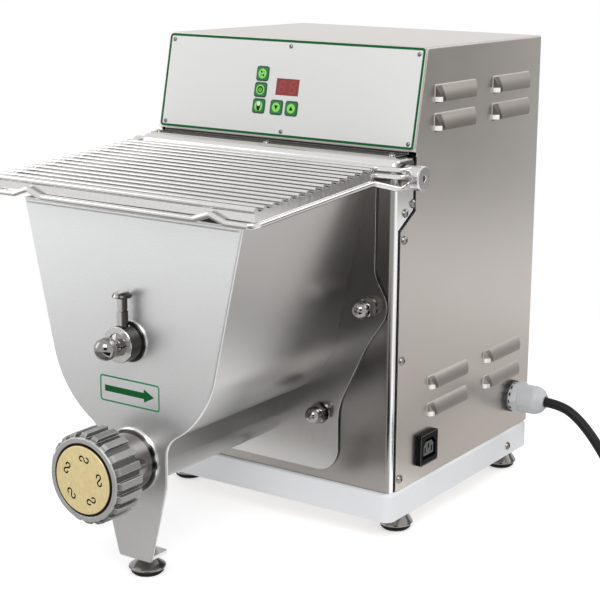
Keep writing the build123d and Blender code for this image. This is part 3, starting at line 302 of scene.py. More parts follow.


# metals: grain is the stretch of the polishing marks along X, Y and Z, edge the width of the rounded edges,
# edgeGlint how much lighter their colour is painted as a highlight, and fades the further colours that
# masks bring in
def metal(name, colour, roughness, grain=(1, 1, 1), scale=300, tone=0.05, matt=0.05, bump=0.05, cloud=0.03,
          cloudScale=9, edge=0.0, edgeGlint=1.35, fades=(), metallic=1.0):
    made, tree, shader, place = startMaterial(name, colour, roughness, metallic)
    marks = noiseOf(tree, place, scale, detail=4.0, stretch=grain)
    clouds = noiseOf(tree, place, cloudScale, detail=3.0)
    fine = mixColours(tree, spread(tree, marks, 0, 1), shade(colour, 1 - tone), shade(colour, 1 + tone))
    fine = fadeIn(tree, place, fine, fades)
    if edge:
        # painted highlight: the colour is made lighter on the rounded edges
        rounded, rim = edgeOf(tree, edge)
        fine = mixColours(tree, rim, fine, shade(colour, edgeGlint))
    broad = mixColours(tree, spread(tree, clouds, 0, 1), shade(white[:3], 1 - cloud), white)
    plug(tree, mixColours(tree, 1.0, fine, broad, "MULTIPLY"), shader.inputs["Base Color"])
    plug(tree, spread(tree, marks, roughness - matt, roughness + matt), shader.inputs["Roughness"])
    if bump:
        relief = addNode(tree, "Bump", {"Height": marks, "Strength": bump, "Distance": reliefDepth})
        if edge:
            plug(tree, rounded, relief.inputs["Normal"])
        plug(tree, relief.outputs[0], shader.inputs["Normal"])
    elif edge:
        plug(tree, rounded, shader.inputs["Normal"])
    return made


# plastics, paint and rubber: a fine moulded or sprayed surface
def moulded(name, colour, roughness, scale=700, tone=0.05, bump=0.1, matt=0.06, cloudScale=12, edge=0.0,
            fades=(), gloss=0.5):
    made, tree, shader, place = startMaterial(name, colour, roughness)
    shader.inputs["Specular IOR Level"].default_value = gloss
    grain = noiseOf(tree, place, scale, detail=2.0)
    clouds = noiseOf(tree, place, cloudScale, detail=3.0)
    fine = mixColours(tree, spread(tree, clouds, 0, 1), shade(colour, 1 - tone), shade(colour, 1 + tone))
    plug(tree, fadeIn(tree, place, fine, fades), shader.inputs["Base Color"])
    plug(tree, spread(tree, grain, roughness - matt, roughness + matt), shader.inputs["Roughness"])
    relief = addNode(tree, "Bump", {"Height": grain, "Strength": bump, "Distance": reliefDepth})
    if edge:
        plug(tree, edgeOf(tree, edge)[0], relief.inputs["Normal"])
    plug(tree, relief.outputs[0], shader.inputs["Normal"])
    return made


# grains that several finishes share
sheetGrain = dict(scale=90, tone=0.012, matt=0.012, bump=0.0)
turnedGrain = dict(scale=500, tone=0.05, matt=0.04, bump=0.02)
polishedGrain = dict(scale=200, tone=0.03, matt=0.03, bump=0.01)
printGrain = dict(scale=900, tone=0.05, bump=0.04)
glassGrain = dict(scale=300, tone=0.03, bump=0.01)

metals = {
    "housingSteel": dict(colour=(0.58, 0.545, 0.515), roughness=0.30, grain=(1, 0.3, 1), **sheetGrain,
                         edge=0.0006,
                         # painted shade: the louvre hoods darker than the wall, and the upper rows darker
                         # still
                         fades=((louvreHoodShade, (0.50, 0.465, 0.435)),
                                (upperLouvreHoodShade, (0.32, 0.29, 0.27)),
                                # painted shade on the hoods' front ends and painted highlights at their
                                # lower front corners, weaker below
                                (louvreEndShadeAndGlint("upperRows", "end"), (0.12, 0.105, 0.095)),
                                (louvreEndShadeAndGlint("upperRows", "corner"), (0.92, 0.91, 0.89)),
                                (louvreEndShadeAndGlint("lowerRows", "end"), (0.27, 0.245, 0.225)),
                                (louvreEndShadeAndGlint("lowerRows", "corner"), (0.80, 0.79, 0.77)),
                                # painted shade on the ledge's top
                                (ledgeShade, (0.06, 0.058, 0.056)))),
    # painted shade: the column's steel is a much darker copy of the housing's
    "columnShadedSteel": dict(colour=(0.30, 0.285, 0.27), roughness=0.17, grain=(1, 1, 0.3), **sheetGrain,
                        edge=0.0008,
                        # painted highlight on the fold and the sides, none at the sides' upper ends, and
                        # painted shade on the ledge
                        fades=((columnFoldHighlight, (0.70, 0.695, 0.69)),
                               (columnSideHighlight, (0.93, 0.925, 0.92)),
                               (columnSideHighlightEnds, (0.30, 0.29, 0.28)),
                               (ledgeShade, (0.05, 0.048, 0.046)))),
    "plateSteel": dict(colour=(0.80, 0.805, 0.81), roughness=0.38, scale=900, tone=0.09, bump=0.30,
                       edge=0.0006, metallic=0.85),
    "shellSteel": dict(colour=(0.60, 0.595, 0.59), roughness=0.30, grain=(1, 0.3, 1), **sheetGrain,
                       # painted light towards the flange, painted shade towards the trough
                       fades=((shellRearLight, (0.62, 0.605, 0.59)),
                              (shellLowShade, (0.25, 0.245, 0.24)))),
    "troughSteel": dict(colour=(0.28, 0.275, 0.27), roughness=0.30, grain=(1, 0.05, 1), scale=600,
                        tone=0.02, matt=0.03, bump=0.02),
    "flangeSteel": dict(colour=(0.56, 0.55, 0.535), roughness=0.24, grain=(1, 1, 0.3), **sheetGrain,
                        edge=0.0005, edgeGlint=1.6,
                        # painted shade on the flange's upper part and a painted shadow along its front edge
                        fades=((flangeTopShade, (0.24, 0.23, 0.22)),
                               (flangeEdgeShadow, (0.06, 0.058, 0.055)))),
    "wireSteel": dict(colour=(0.70, 0.69, 0.68), roughness=0.12, scale=250, matt=0.04, bump=0.02),
    "turnedSteel": dict(colour=(0.42, 0.41, 0.40), roughness=0.15, **turnedGrain),
    # painted shade: the dome nuts' and the spigot's steel a darker copy
    "polishedShadedSteel": dict(colour=(0.30, 0.29, 0.28), roughness=0.08, **polishedGrain),
    "pinSteel": dict(colour=(0.50, 0.49, 0.48), roughness=0.08, **polishedGrain,
                     # painted shade on the sides of the pin's stem
                     fades=((pinSideShade, (0.055, 0.052, 0.05)),)),
    "bladeSteel": dict(colour=(0.30, 0.295, 0.29), roughness=0.32, grain=(1, 0.3, 1), tone=0.03, matt=0.03,
                       bump=0.02),
    "bossSteel": dict(colour=(0.78, 0.77, 0.76), roughness=0.22, scale=500, bump=0.03, metallic=0.8,
                      # painted shade on the boss's turned side
                      fades=((bossSideShade, (0.06, 0.058, 0.055)),)),
    # painted shade: the neck a darker copy of the steel, with a painted highlight on its ring
    "neckShadedSteel": dict(colour=(0.22, 0.21, 0.20), roughness=0.16, grain=(1, 0.1, 1), tone=0.04, matt=0.04,
                      bump=0.01, fades=((neckRingHighlight, (0.85, 0.84, 0.83)),)),
    "dieBronze": dict(colour=(0.97, 0.76, 0.40), roughness=0.42, grain=(1, 0.2, 0.25), scale=900, tone=0.12,
                      matt=0.06, bump=0.10, cloud=0.10, cloudScale=160, edge=0.0003, metallic=0.45,
                      # painted shade on the die's sides, which is also the inside of its slots
                      fades=((dieSideShade, (0.05, 0.035, 0.02)),)),
    "castNut": dict(colour=(0.50, 0.495, 0.485), roughness=0.40, scale=650, tone=0.14, matt=0.06, bump=0.4,
                    cloud=0.08, cloudScale=40, edge=0.0008, edgeGlint=1.8, metallic=0.55,
                    # painted shade on the nut behind its front, in its grooves and on the wall of its
                    # opening
                    fades=((nutSideShade, (0.31, 0.305, 0.295)),
                           (nutHollowShade, (0.10, 0.098, 0.095)))),
    "gearSteel": dict(colour=(0.30, 0.29, 0.28), roughness=0.4, tone=0.1, matt=0.1, bump=0.1),
    "hingeBronze": dict(colour=(0.20, 0.17, 0.13), roughness=0.35, tone=0.1, matt=0.1),
    "darkScrew": dict(colour=(0.22, 0.22, 0.22), roughness=0.2, tone=0.1),
    "hubSteel": dict(colour=(0.66, 0.65, 0.64), roughness=0.22, **turnedGrain, edge=0.0005),
    # painted shade: the feet's and the screws' steel a darker copy
    "shadedFootSteel": dict(colour=(0.27, 0.26, 0.25), roughness=0.15, **turnedGrain, edge=0.0005, edgeGlint=2.2),
}

plastics = {
    "powderCoat": dict(colour=(0.90, 0.91, 0.93), roughness=0.38, scale=1100, tone=0.015, bump=0.12),
    "panelFilm": dict(colour=(0.76, 0.76, 0.745), roughness=0.42, scale=1500, tone=0.012, bump=0.05),
    "keyGreen": dict(colour=(0.002, 0.16, 0.040), roughness=0.4, scale=900, tone=0.06, bump=0.05),
    "keyRim": dict(colour=(0.002, 0.055, 0.012), roughness=0.4, **printGrain),
    "displayGlass": dict(colour=(0.25, 0.029, 0.024), roughness=0.14, **glassGrain),
    "displayLit": dict(colour=(0.38, 0.040, 0.034), roughness=0.14, **glassGrain),
    "displayDark": dict(colour=(0.030, 0.006, 0.004), roughness=0.14, **glassGrain),
    "boardGreen": dict(colour=(0.02, 0.12, 0.05), roughness=0.5),
    "blackPlastic": dict(colour=(0.006, 0.006, 0.006), roughness=0.34, scale=900, tone=0.1, edge=0.0006,
                         gloss=0.05),
    "greyPlastic": dict(colour=(0.60, 0.61, 0.62), roughness=0.40, scale=900, tone=0.03, bump=0.08,
                        edge=0.0008),
    "glandPlastic": dict(colour=(0.66, 0.67, 0.68), roughness=0.40, scale=900, tone=0.03, bump=0.08,
                         # the washer dark, partly its seal and partly painted shade, and painted shade in
                         # the slots
                         edge=0.0008, fades=((glandWasherSealAndShade, (0.07, 0.07, 0.07)),
                                             (glandSlotShade, (0.006, 0.006, 0.006)))),
    "footRubber": dict(colour=(0.008, 0.008, 0.008), roughness=0.62, scale=500, tone=0.1, bump=0.3,
                       gloss=0.2),
    # painted shadow in the gap beside the cover
    "shadowGapBlack": dict(colour=(0.006, 0.006, 0.006), roughness=0.6, scale=500, tone=0.1, bump=0.2,
                       gloss=0.1),
    "cableRubber": dict(colour=(0.008, 0.008, 0.008), roughness=0.45, scale=600, tone=0.1, bump=0.2,
                        gloss=0.25),
    # painted highlight: grey lines along the outlet's edges
    "outletEdgeHighlight": dict(colour=(0.16, 0.16, 0.16), roughness=0.4, scale=500, tone=0.1, gloss=0.3),
    "outletGrey": dict(colour=(0.11, 0.11, 0.11), roughness=0.4, scale=500, tone=0.1, gloss=0.2),
    "motorPaint": dict(colour=(0.06, 0.07, 0.085), roughness=0.42, scale=500, tone=0.06, bump=0.2),
    "printGreen": dict(colour=(0.001, 0.105, 0.022), roughness=0.45, **printGrain, gloss=0.15),
    "labelGreen": dict(colour=(0.030, 0.27, 0.12), roughness=0.45, **printGrain, gloss=0.2),
    "printBlack": dict(colour=(0.006, 0.006, 0.008), roughness=0.45, **printGrain, gloss=0.15),
    "printLime": dict(colour=(0.23, 0.76, 0.08), roughness=0.4, scale=900, tone=0.03, bump=0.04),
    "printWhite": dict(colour=(0.80, 0.81, 0.80), roughness=0.4, scale=900, tone=0.02, bump=0.04),
}
finishes = {name: metal(name, **settings) for name, settings in metals.items()}
finishes.update({name: moulded(name, **settings) for name, settings in plastics.items()})

nodeFinishes = {
    "powderCoat": ["base_tray"],
    "housingSteel": ["housing_cover", "rear_panel", "bottom_plate"],
    "columnShadedSteel": ["front_column"],
    "plateSteel": ["bowl_front_plate"],
    "shellSteel": ["bowl_shell"],
    "troughSteel": ["auger_trough"],
    "flangeSteel": ["bowl_flange"],
    "wireSteel": ["lid_grid", "lid_loop", "lid_yoke"],
    "bladeSteel": ["auger", "mixing_shaft", "mixing_paddles"],
    "turnedSteel": ["leg_foot_nut", "lid_shafts", "flange_studs", "drive_plate_front", "drive_plate_rear",
                    "drive_spacers", "shaft_bearings"],
    "hubSteel": ["lid_hubs"],
    "shadedFootSteel": ["foot_cones", "leg_foot_cone", "housing_screws"],
    "darkScrew": ["panel_screws"],
    "polishedShadedSteel": ["dome_nuts", "spigot"],
    "pinSteel": ["lock_pin"],
    "bossSteel": ["spigot_boss"],
    "neckShadedSteel": ["barrel_head"],
    "dieBronze": ["extrusion_die"],
    "castNut": ["ring_nut"],
    "gearSteel": ["drive_pinion", "auger_gear", "mixer_gear"],
    "hingeBronze": ["hinge_bushes"],
    "panelFilm": ["control_overlay"],
    "keyGreen": ["key_fan", "key_power", "key_knead", "key_down", "key_up"],
    "displayGlass": ["display_window"],
    "boardGreen": ["control_board"],
    "blackPlastic": ["accessory_outlet", "lid_switch", "mains_plug"],
    "greyPlastic": ["gland_nut", "power_unit"],
    "glandPlastic": ["cable_gland"],
    "footRubber": ["foot_pads", "leg_foot_pad"],
    "cableRubber": ["power_cord", "cord_coil", "cord_tail"],
    "motorPaint": ["reducer_case", "motor"],
}
for finish, names in nodeFinishes.items():
    for name in names:
        nodes[name].data.materials.clear()
        nodes[name].data.materials.append(finishes[finish])
print("materials:", len(finishes))


def addPiece(name, shape, finish, body):
    piece = addMesh(name, shape)
    piece.data.materials.append(finishes[finish])
    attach(piece, body)
    return piece


# a shape starts as one face with rounded corners, may keep only a line round its rim, and gets a thickness
def oneFace(corners, radius=0.0, segments=6):
    shape = bmesh.new()
    shape.faces.new([shape.verts.new(corner) for corner in corners])
    if radius:
        bmesh.ops.bevel(shape, geom=shape.verts[:], offset=radius, offset_type="OFFSET", segments=segments,
                        profile=0.5, affect="VERTICES", material=-1)
    return shape


def keepRim(shape, line):
    inner = shape.faces[:]
    bmesh.ops.inset_region(shape, faces=inner, thickness=line, use_boundary=True, use_even_offset=True)
    bmesh.ops.delete(shape, geom=inner, context="FACES")


def thicken(shape, offset):
    walls = bmesh.ops.extrude_face_region(shape, geom=shape.faces[:], use_keep_orig=True)
    raised = [v for v in walls["geom"] if isinstance(v, bmesh.types.BMVert)]
    bmesh.ops.translate(shape, vec=offset, verts=raised)


def joinShape(target, shape, place):
    bmesh.ops.transform(shape, matrix=place, verts=shape.verts)
    data = bpy.data.meshes.new("shape")
    shape.to_mesh(data)
    shape.free()
    target.from_mesh(data)
    bpy.data.meshes.remove(data)


# flat prints: outlines in millimetres on a plane, each a thin closed film with its back on the surface
film, secondFilm, thirdFilm = 0.06, 0.05, 0.04  # thickness of the first print and of those on top of it


def planeAt(origin, up, lift=0.0):
    up = Vector(up)
    out = Vector((1, 0, 0)).cross(up)
    turn = Matrix((Vector((1, 0, 0)), up, out)).transposed().to_4x4()
    return Matrix.Translation(Vector(origin) + out * lift) @ turn


def lifted(place, height):
    return place @ Matrix.Translation((0, 0, height * mm))


def turnedBy(place, angle):
    return place @ Matrix.Rotation(math.radians(angle), 4, "Z")


def box(x0, y0, x1, y1):
    return [(x0, y0), (x1, y0), (x1, y1), (x0, y1)]


def addFilm(target, corners, place, radius=0.0, line=0.0, thick=film, segments=6):
    finishFilm(target, oneFace([(x, y, 0) for x, y in corners], radius, segments), place, line, thick)


def addDisc(target, centre, radius, place, line=0.0, thick=film, segments=40, stretch=(1, 1)):
    shape = bmesh.new()
    bmesh.ops.create_circle(shape, cap_ends=True, segments=segments, radius=radius)
    bmesh.ops.scale(shape, vec=(*stretch, 1), verts=shape.verts)
    bmesh.ops.translate(shape, vec=(*centre, 0), verts=shape.verts)
    finishFilm(target, shape, place, line, thick)


def finishFilm(target, shape, place, line, thick):
    if line:
        keepRim(shape, line)
    thicken(shape, (0, 0, thick))
    bmesh.ops.recalc_face_normals(shape, faces=shape.faces)
    bmesh.ops.scale(shape, vec=(mm, mm, mm), verts=shape.verts)
    joinShape(target, shape, place)


# accessory outlet: grey rim lines round its flange and its collar as a painted highlight on their edges,
# and the island's face without its slots
outlet = {
    "face": 0.155,
    "centre": (0.04735, 0.082),
    "flange": (-15.9, -14.9, 15.9, 14.9),
    "flangeRadius": 2.2,
    "collar": (12.9, 10.4, 5.7),
    "line": 0.45,
    "island": (9.2, 6.7, 3.9),
    "islandDepth": 0.001,  # how far the island's face lies behind the flange's
    "slots": ((-6.0, -1.6), (0.0, 2.0), (6.0, -1.6)),
    "slot": (1.1, 2.7),
}


def keyedOutline(width, height, corner):
    return [(-width, -height), (width, -height), (width, height - corner), (width - corner, height),
            (-width + corner, height), (-width, height - corner)]


def addOutletEdgeHighlights(s, place):
    rims = bmesh.new()
    addFilm(rims, box(*s["flange"]), place, s["flangeRadius"], s["line"])
    addFilm(rims, keyedOutline(*s["collar"]), place, line=s["line"])
    addPiece("outletEdgeHighlights", rims, "outletEdgeHighlight", "machine")


def inSlot(face, middle, halves):
    spot = face.calc_center_median()
    return all(abs(spot[axis] - middle[axis]) < half for axis, half in enumerate(halves))


# the face is cut along each slot's sides, and then the slots' parts are taken out
def addOutletIsland(s, place):
    island = bmesh.new()
    shape = oneFace([(x, y, 0) for x, y in keyedOutline(*s["island"])])
    for middle in s["slots"]:
        for axis, half in enumerate(s["slot"]):
            for side in (-1, 1):
                spot, normal = Vector(), Vector()
                spot[axis] = middle[axis] + side * half
                normal[axis] = 1
                bmesh.ops.bisect_plane(shape, geom=shape.verts[:] + shape.edges[:] + shape.faces[:],
                                       plane_co=spot, plane_no=normal)
    holes = [face for face in shape.faces if any(inSlot(face, middle, s["slot"]) for middle in s["slots"])]
    bmesh.ops.delete(shape, geom=holes, context="FACES")
    finishFilm(island, shape, place, 0, film)
    addPiece("outletIsland", island, "outletGrey", "machine")


def addOutletFace(s):
    y, z = s["centre"]
    place = Matrix(((0, 0, 1, s["face"]), (1, 0, 0, y), (0, 1, 0, z), (0, 0, 0, 1)))
    addOutletEdgeHighlights(s, place)
    addOutletIsland(s, Matrix.Translation((-s["islandDepth"], 0, 0)) @ place)


# painted shadow: a black strip on the column's sides, in the gap along the cover's edge and the notch for
# the hinge
shadowGap = {
    "side": 0.1485,
    "line": [(-7.5, 52.2), (-5.9, 52.2), (-5.9, 300.6), (20.0, 316.4), (20.0, 366.0), (18.2, 366.0),
             (18.2, 317.5), (-7.5, 301.5)],
    "thick": 0.5,
}


def addShadowGap(s):
    for name, side in (("shadowGapRight", 1), ("shadowGapLeft", -1)):
        strip = bmesh.new()
        turn = Matrix(((0, 0, side, side * s["side"]), (side, 0, 0, 0), (0, 1, 0, 0), (0, 0, 0, 1)))
        addFilm(strip, [(side * y, z) for y, z in s["line"]][::side], turn, thick=s["thick"])
        addPiece(name, strip, "shadowGapBlack", "machine")


# control panel: a leaning plane whose origin is the middle of the lower edge
panel = {
    "origin": (0, 0.01695, 0.3708),
    "up": (0, 0.2068, 0.9784),
}
panelBorder = {
    "lift": 0.0014,
    "box": (-148.1, 1.2, 148.1, 94.06),
    "radius": 3.6,
    "line": 2.4,
}


def onPanel(lift):
    return planeAt(panel["origin"], panel["up"], lift)


def addPanelBorder(s):
    border = bmesh.new()
    addFilm(border, box(*s["box"]), onPanel(s["lift"]), s["radius"], s["line"])
    addPiece("panelBorder", border, "printGreen", "machine")


# display: two digits of seven bars and three dots, inside a dark edge
display = {
    "lift": 0.00135,
    "centre": (1.6, 49.0),
    "size": (26.4, 16.0),
    "edge": 0.75,
    "digits": (-6.1, 6.1),
    "digit": (8.4, 12.6),
    "bar": 1.9,
    "gap": 0.25,
    "slant": 0.16,
    "dots": ((-8.8, 6.4), (-8.6, -5.6), (-6.4, -5.6)),
    "dotRadius": 0.35,
    "dotSegments": 10,
}


def addDisplay(s):
    x, y = s["centre"]
    wide, high = s["size"]
    base = onPanel(s["lift"])
    edge, digits = bmesh.new(), bmesh.new()
    addFilm(edge, box(x - wide / 2, y - high / 2, x + wide / 2, y + high / 2), base, line=s["edge"])
    addPiece("displayEdge", edge, "displayDark", "machine")
    for across in s["digits"]:
        addDigit(digits, x + across, y, base, s)
    for across, up in s["dots"]:
        addDisc(digits, (x + across, y + up), s["dotRadius"], base, thick=secondFilm,
                segments=s["dotSegments"])
    addPiece("displaySegments", digits, "displayLit", "machine")


def addDigit(target, across, up, base, s):
    lean = Matrix(((1, s["slant"], 0, 0), (0, 1, 0, 0), (0, 0, 1, 0), (0, 0, 0, 1)))
    place = base @ Matrix.Translation((across * mm, up * mm, 0)) @ lean
    x, y = ((side - s["bar"]) / 2 for side in s["digit"])
    h, gap = s["bar"] / 2, s["gap"]
    for level in (-y, 0, y):
        low, top = -x + gap, x - gap
        addFilm(target, [(low, level), (low + h, level - h), (top - h, level - h), (top, level),
                         (top - h, level + h), (low + h, level + h)], place, thick=secondFilm)
    for side in (-x, x):
        for low, top in ((-y + gap, -gap), (gap, y - gap)):
            addFilm(target, [(side, low), (side + h, low + h), (side + h, top - h), (side, top),
                             (side - h, top - h), (side - h, low + h)], place, thick=secondFilm)


# key symbols: lime shapes with black ones on them, each on its own key
fanSymbol = {
    "disc": 4.8,
    "blade": [(0.5, -0.2), (1.6, -1.0), (3.1, -0.9), (3.6, 0.3), (2.3, 0.8), (0.9, 0.6)],
    "bladeRadius": 0.45,
    "bladeAngles": (40, 130, 220, 310),
    "slash": (-3.9, -0.28, 3.9, 0.28),
    "slashAngle": 34,
}


def drawFan(lime, dark, place, s):
    above = lifted(place, film)
    addDisc(lime, (0, 0), s["disc"], place)
    for angle in s["bladeAngles"]:
        addFilm(dark, s["blade"], turnedBy(above, angle), s["bladeRadius"], thick=secondFilm, segments=3)
    slash = bmesh.new()
    addFilm(slash, box(*s["slash"]), turnedBy(lifted(above, film), s["slashAngle"]), thick=thirdFilm)
    addPiece("fanSlash", slash, "printWhite", "key_fan")


powerSymbol = {
    "disc": 4.8,
    "discLine": 1.35,
    "inner": 3.5,
    "ring": 2.1,
    "ringCentre": (0, -0.1),
    "ringLine": 1.1,
    "stroke": (-0.4, 0.2, 0.4, 2.9),
}


def drawPower(lime, dark, place, s):
    above = lifted(place, film)
    addDisc(lime, (0, 0), s["disc"], place, s["discLine"])
    addDisc(dark, (0, 0), s["inner"], place)
    addDisc(lime, s["ringCentre"], s["ring"], above, s["ringLine"], secondFilm)
    addFilm(dark, box(*s["stroke"]), lifted(above, secondFilm), thick=thirdFilm)


kneadSymbol = {
    "bow": [(1.1, 4.6), (2.9, 4.0), (4.3, 2.2), (4.7, 0), (4.2, -2.6), (2.6, -4.5), (0.8, -4.9),
            (1.9, -2.9), (2.5, -0.6), (2.6, 1.6), (2.1, 3.4)],
    "bowRadius": 0.5,
    "bag": [(-1.2, -4.2), (1.2, -4.2), (1.9, -1.0), (0.7, 0.9), (-0.7, 0.9), (-1.9, -1.0)],
    "bagRadius": 0.4,
    "drop": 2.1,
    "dropCentre": (0, 2.2),
    "dropStretch": (1, 1.1),
    "dropSegments": 28,
}


def drawKnead(lime, dark, place, s):
    for side in (-1, 1):
        bow = [(side * x, y) for x, y in s["bow"]]
        addFilm(lime, bow[::side], place, s["bowRadius"], segments=3)
    addFilm(dark, s["bag"], place, s["bagRadius"], segments=3)
    drop = bmesh.new()
    addDisc(drop, s["dropCentre"], s["drop"], lifted(place, film), thick=secondFilm,
            segments=s["dropSegments"], stretch=s["dropStretch"])
    addPiece("kneadDrop", drop, "printWhite", "key_knead")


arrowSymbol = {
    "disc": 4.6,
    "arrow": [(-2.3, -1.9), (2.3, -1.9), (0, 2.4)],
    "arrowRadius": 0.25,
}


def drawArrow(lime, dark, place, s, side):
    arrow = [(x, side * y) for x, y in s["arrow"]]
    addDisc(lime, (0, 0), s["disc"], place)
    addFilm(dark, arrow[::side], lifted(place, film), s["arrowRadius"], thick=secondFilm, segments=2)


keys = {
    "lift": 0.0022,
    "centres": {"fan": (-29.0, 60.3), "power": (-29.4, 44.7), "knead": (-29.3, 29.0), "down": (-8.4, 29.0),
                "up": (9.1, 29.0)},
    "rim": (-6.75, -6.6, 6.75, 6.6),
    "rimRadius": 1.9,
    "rimLine": 0.8,
}


def addKeySymbols(s):
    for key, (x, y) in s["centres"].items():
        place = onPanel(s["lift"]) @ Matrix.Translation((x * mm, y * mm, 0))
        rim, lime, dark = bmesh.new(), bmesh.new(), bmesh.new()
        addFilm(rim, box(*s["rim"]), place, s["rimRadius"], s["rimLine"], thirdFilm)
        if key == "fan":
            drawFan(lime, dark, place, fanSymbol)
        elif key == "power":
            drawPower(lime, dark, place, powerSymbol)
        elif key == "knead":
            drawKnead(lime, dark, place, kneadSymbol)
        else:
            drawArrow(lime, dark, place, arrowSymbol, 1 if key == "up" else -1)
        addPiece(key + "KeyRim", rim, "keyRim", "key_" + key)
        addPiece(key + "KeyLime", lime, "printLime", "key_" + key)
        addPiece(key + "KeyDark", dark, "printBlack", "key_" + key)


# label on the bowl's front plate, with the direction arrow
plateLabel = {
    "origin": (0, -0.20335, 0),
    "edge": (-36.0, 159.5, 31.5, 183.5),
    "edgeRadius": 3.0,
    "edgeLine": 1.5,
    "arrow": [(-30.5, 168.8), (14.0, 168.8), (14.0, 165.6), (25.4, 171.6), (14.0, 177.6), (14.0, 174.4),
              (-30.5, 174.4)],
}


def addPlateLabel(s):
    base = planeAt(s["origin"], (0, 0, 1))
    edge, arrow = bmesh.new(), bmesh.new()
    addFilm(edge, box(*s["edge"]), base, s["edgeRadius"], s["edgeLine"])
    addPiece("labelEdge", edge, "labelGreen", "machine")
    addFilm(arrow, s["arrow"], base)
    addPiece("labelArrow", arrow, "printGreen", "machine")


addOutletFace(outlet)
addShadowGap(shadowGap)
addPanelBorder(panelBorder)
addDisplay(display)
addKeySymbols(keys)
addPlateLabel(plateLabel)
print("outlet, shadowStrips, panel, keys and label added")


# mains cable: one open spline from the gland through the coil to the plug
mainsCable = {
    "glandY": gland["axis"][0],
    "glandZ": gland["axis"][1],
    "radius": 0.0051,
    "sideStep": 0.0063,  # from the gland forward to the coil's rearmost turn
    "coilX": 0.374,
    "outerTurn": 0.0663,
    "innerTurn": 0.0557,
    "layers": (0.0052, 0.0156),
    "turns": 3.25,
    "turnSteps": 16,
    "inward": (0.72, 0.92),  # the stretches, in turns, over which the cable changes its row and layer
    "upward": (1.68, 1.90),
    "outward": (2.70, 2.90),
    "stub": 0.038,
    "plugAxis": 0.0178,
    "plugGap": 0.065,
    "length": 1.5,
    "bevelResolution": 5,
    "resolution": 6,
    "order": 3,
}
cableTie = {
    "thick": 0.0009,
    "width": 0.0026,
    "corner": 0.0042,
    "floorGap": 0.0001,
    "head": (0.0052, 0.0046, 0.0040),
    "headRadius": 0.0006,
    "headPlace": (0.002, 0.0012),
}


def smoothStep(value, start, end):
    t = min(1.0, max(0.0, (value - start) / (end - start)))
    return t * t * (3 - 2 * t)


def coilCentre(s):
    return s["coilX"], s["glandY"] - s["sideStep"] - s["outerTurn"]


def cableRoute(s):
    y = s["glandY"]
    run = y - s["sideStep"]
    coilX, coilY = coilCentre(s)
    low, high = s["layers"]
    inner, outer = s["innerTurn"], s["outerTurn"]
    route = [(0.184, y, s["glandZ"]), (0.204, y, s["glandZ"]), (0.2237, y - 0.0002, 0.0808),
             (0.246, y - 0.0012, 0.0607), (0.2669, y - 0.003, 0.0339), (0.292, y - 0.005, 0.0151),
             (0.323, run, low), (coilX - s["stub"], run, low)]
    for k in range(int(s["turns"] * s["turnSteps"]) + 1):
        turn = k / s["turnSteps"]
        inward, upward, outward = (smoothStep(turn, *s[key]) for key in ("inward", "upward", "outward"))
        radius = outer + (inner - outer) * (inward - outward)
        angle = 2 * math.pi * turn
        route.append((coilX + radius * math.sin(angle), coilY + radius * math.cos(angle),
                      low + (high - low) * upward))
    x = coilX + outer
    route += [(x, coilY - s["stub"], high), (x, coilY - 0.044, high), (x, coilY - 0.058, s["plugAxis"]),
              (x, coilY - s["plugGap"], s["plugAxis"])]
    return route


# a flat strap round the turns on the coil's near side, with its small locking head on top
def addTie(s, cable):
    coilX, coilY = coilCentre(cable)
    inner, outer = cable["innerTurn"], cable["outerTurn"]
    reach = (outer - inner) / 2 + cable["radius"] + s["thick"]
    top = cable["layers"][1] + cable["radius"] + s["thick"]
    low, front = s["floorGap"], -s["width"] / 2
    strap = oneFace([(-reach, front, low), (reach, front, low), (reach, front, top), (-reach, front, top)],
                    s["corner"])
    keepRim(strap, s["thick"])
    thicken(strap, (0, s["width"], 0))
    head = bmesh.new()
    bmesh.ops.create_cube(head, size=1.0)
    bmesh.ops.scale(head, vec=s["head"], verts=head.verts)
    bmesh.ops.bevel(head, geom=head.edges[:], offset=s["headRadius"], offset_type="OFFSET", segments=2,
                    profile=0.5, affect="EDGES", material=-1)
    across, up = s["headPlace"]
    joinShape(strap, head, Matrix.Translation((across, 0, top + up)))
    bmesh.ops.recalc_face_normals(strap, faces=strap.faces)
    bmesh.ops.translate(strap, vec=(coilX - (inner + outer) / 2, coilY, 0), verts=strap.verts)
    return addPiece("cableTie", strap, "blackPlastic", "machine")


def addCable(s):
    tie = addTie(cableTie, s)
    curve = bpy.data.curves.new("mainsCable", "CURVE")
    curve.dimensions = "3D"
    curve.bevel_depth = s["radius"]
    curve.bevel_resolution = s["bevelResolution"]
    curve.resolution_u = s["resolution"]
    spline = curve.splines.new("NURBS")
    route = cableRoute(s)
    spline.points.add(len(route) - 1)
    for point, place in zip(spline.points, route):
        point.co = (*place, 1)
    spline.order_u = s["order"]
    spline.use_endpoint_u = True
    curve.materials.append(finishes["cableRubber"])
    cable = addObject("mainsCable", curve)
    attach(cable, "machine")
    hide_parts("power_cord", "cord_coil", "cord_tail")


addCable(mainsCable)
print("cable routed")


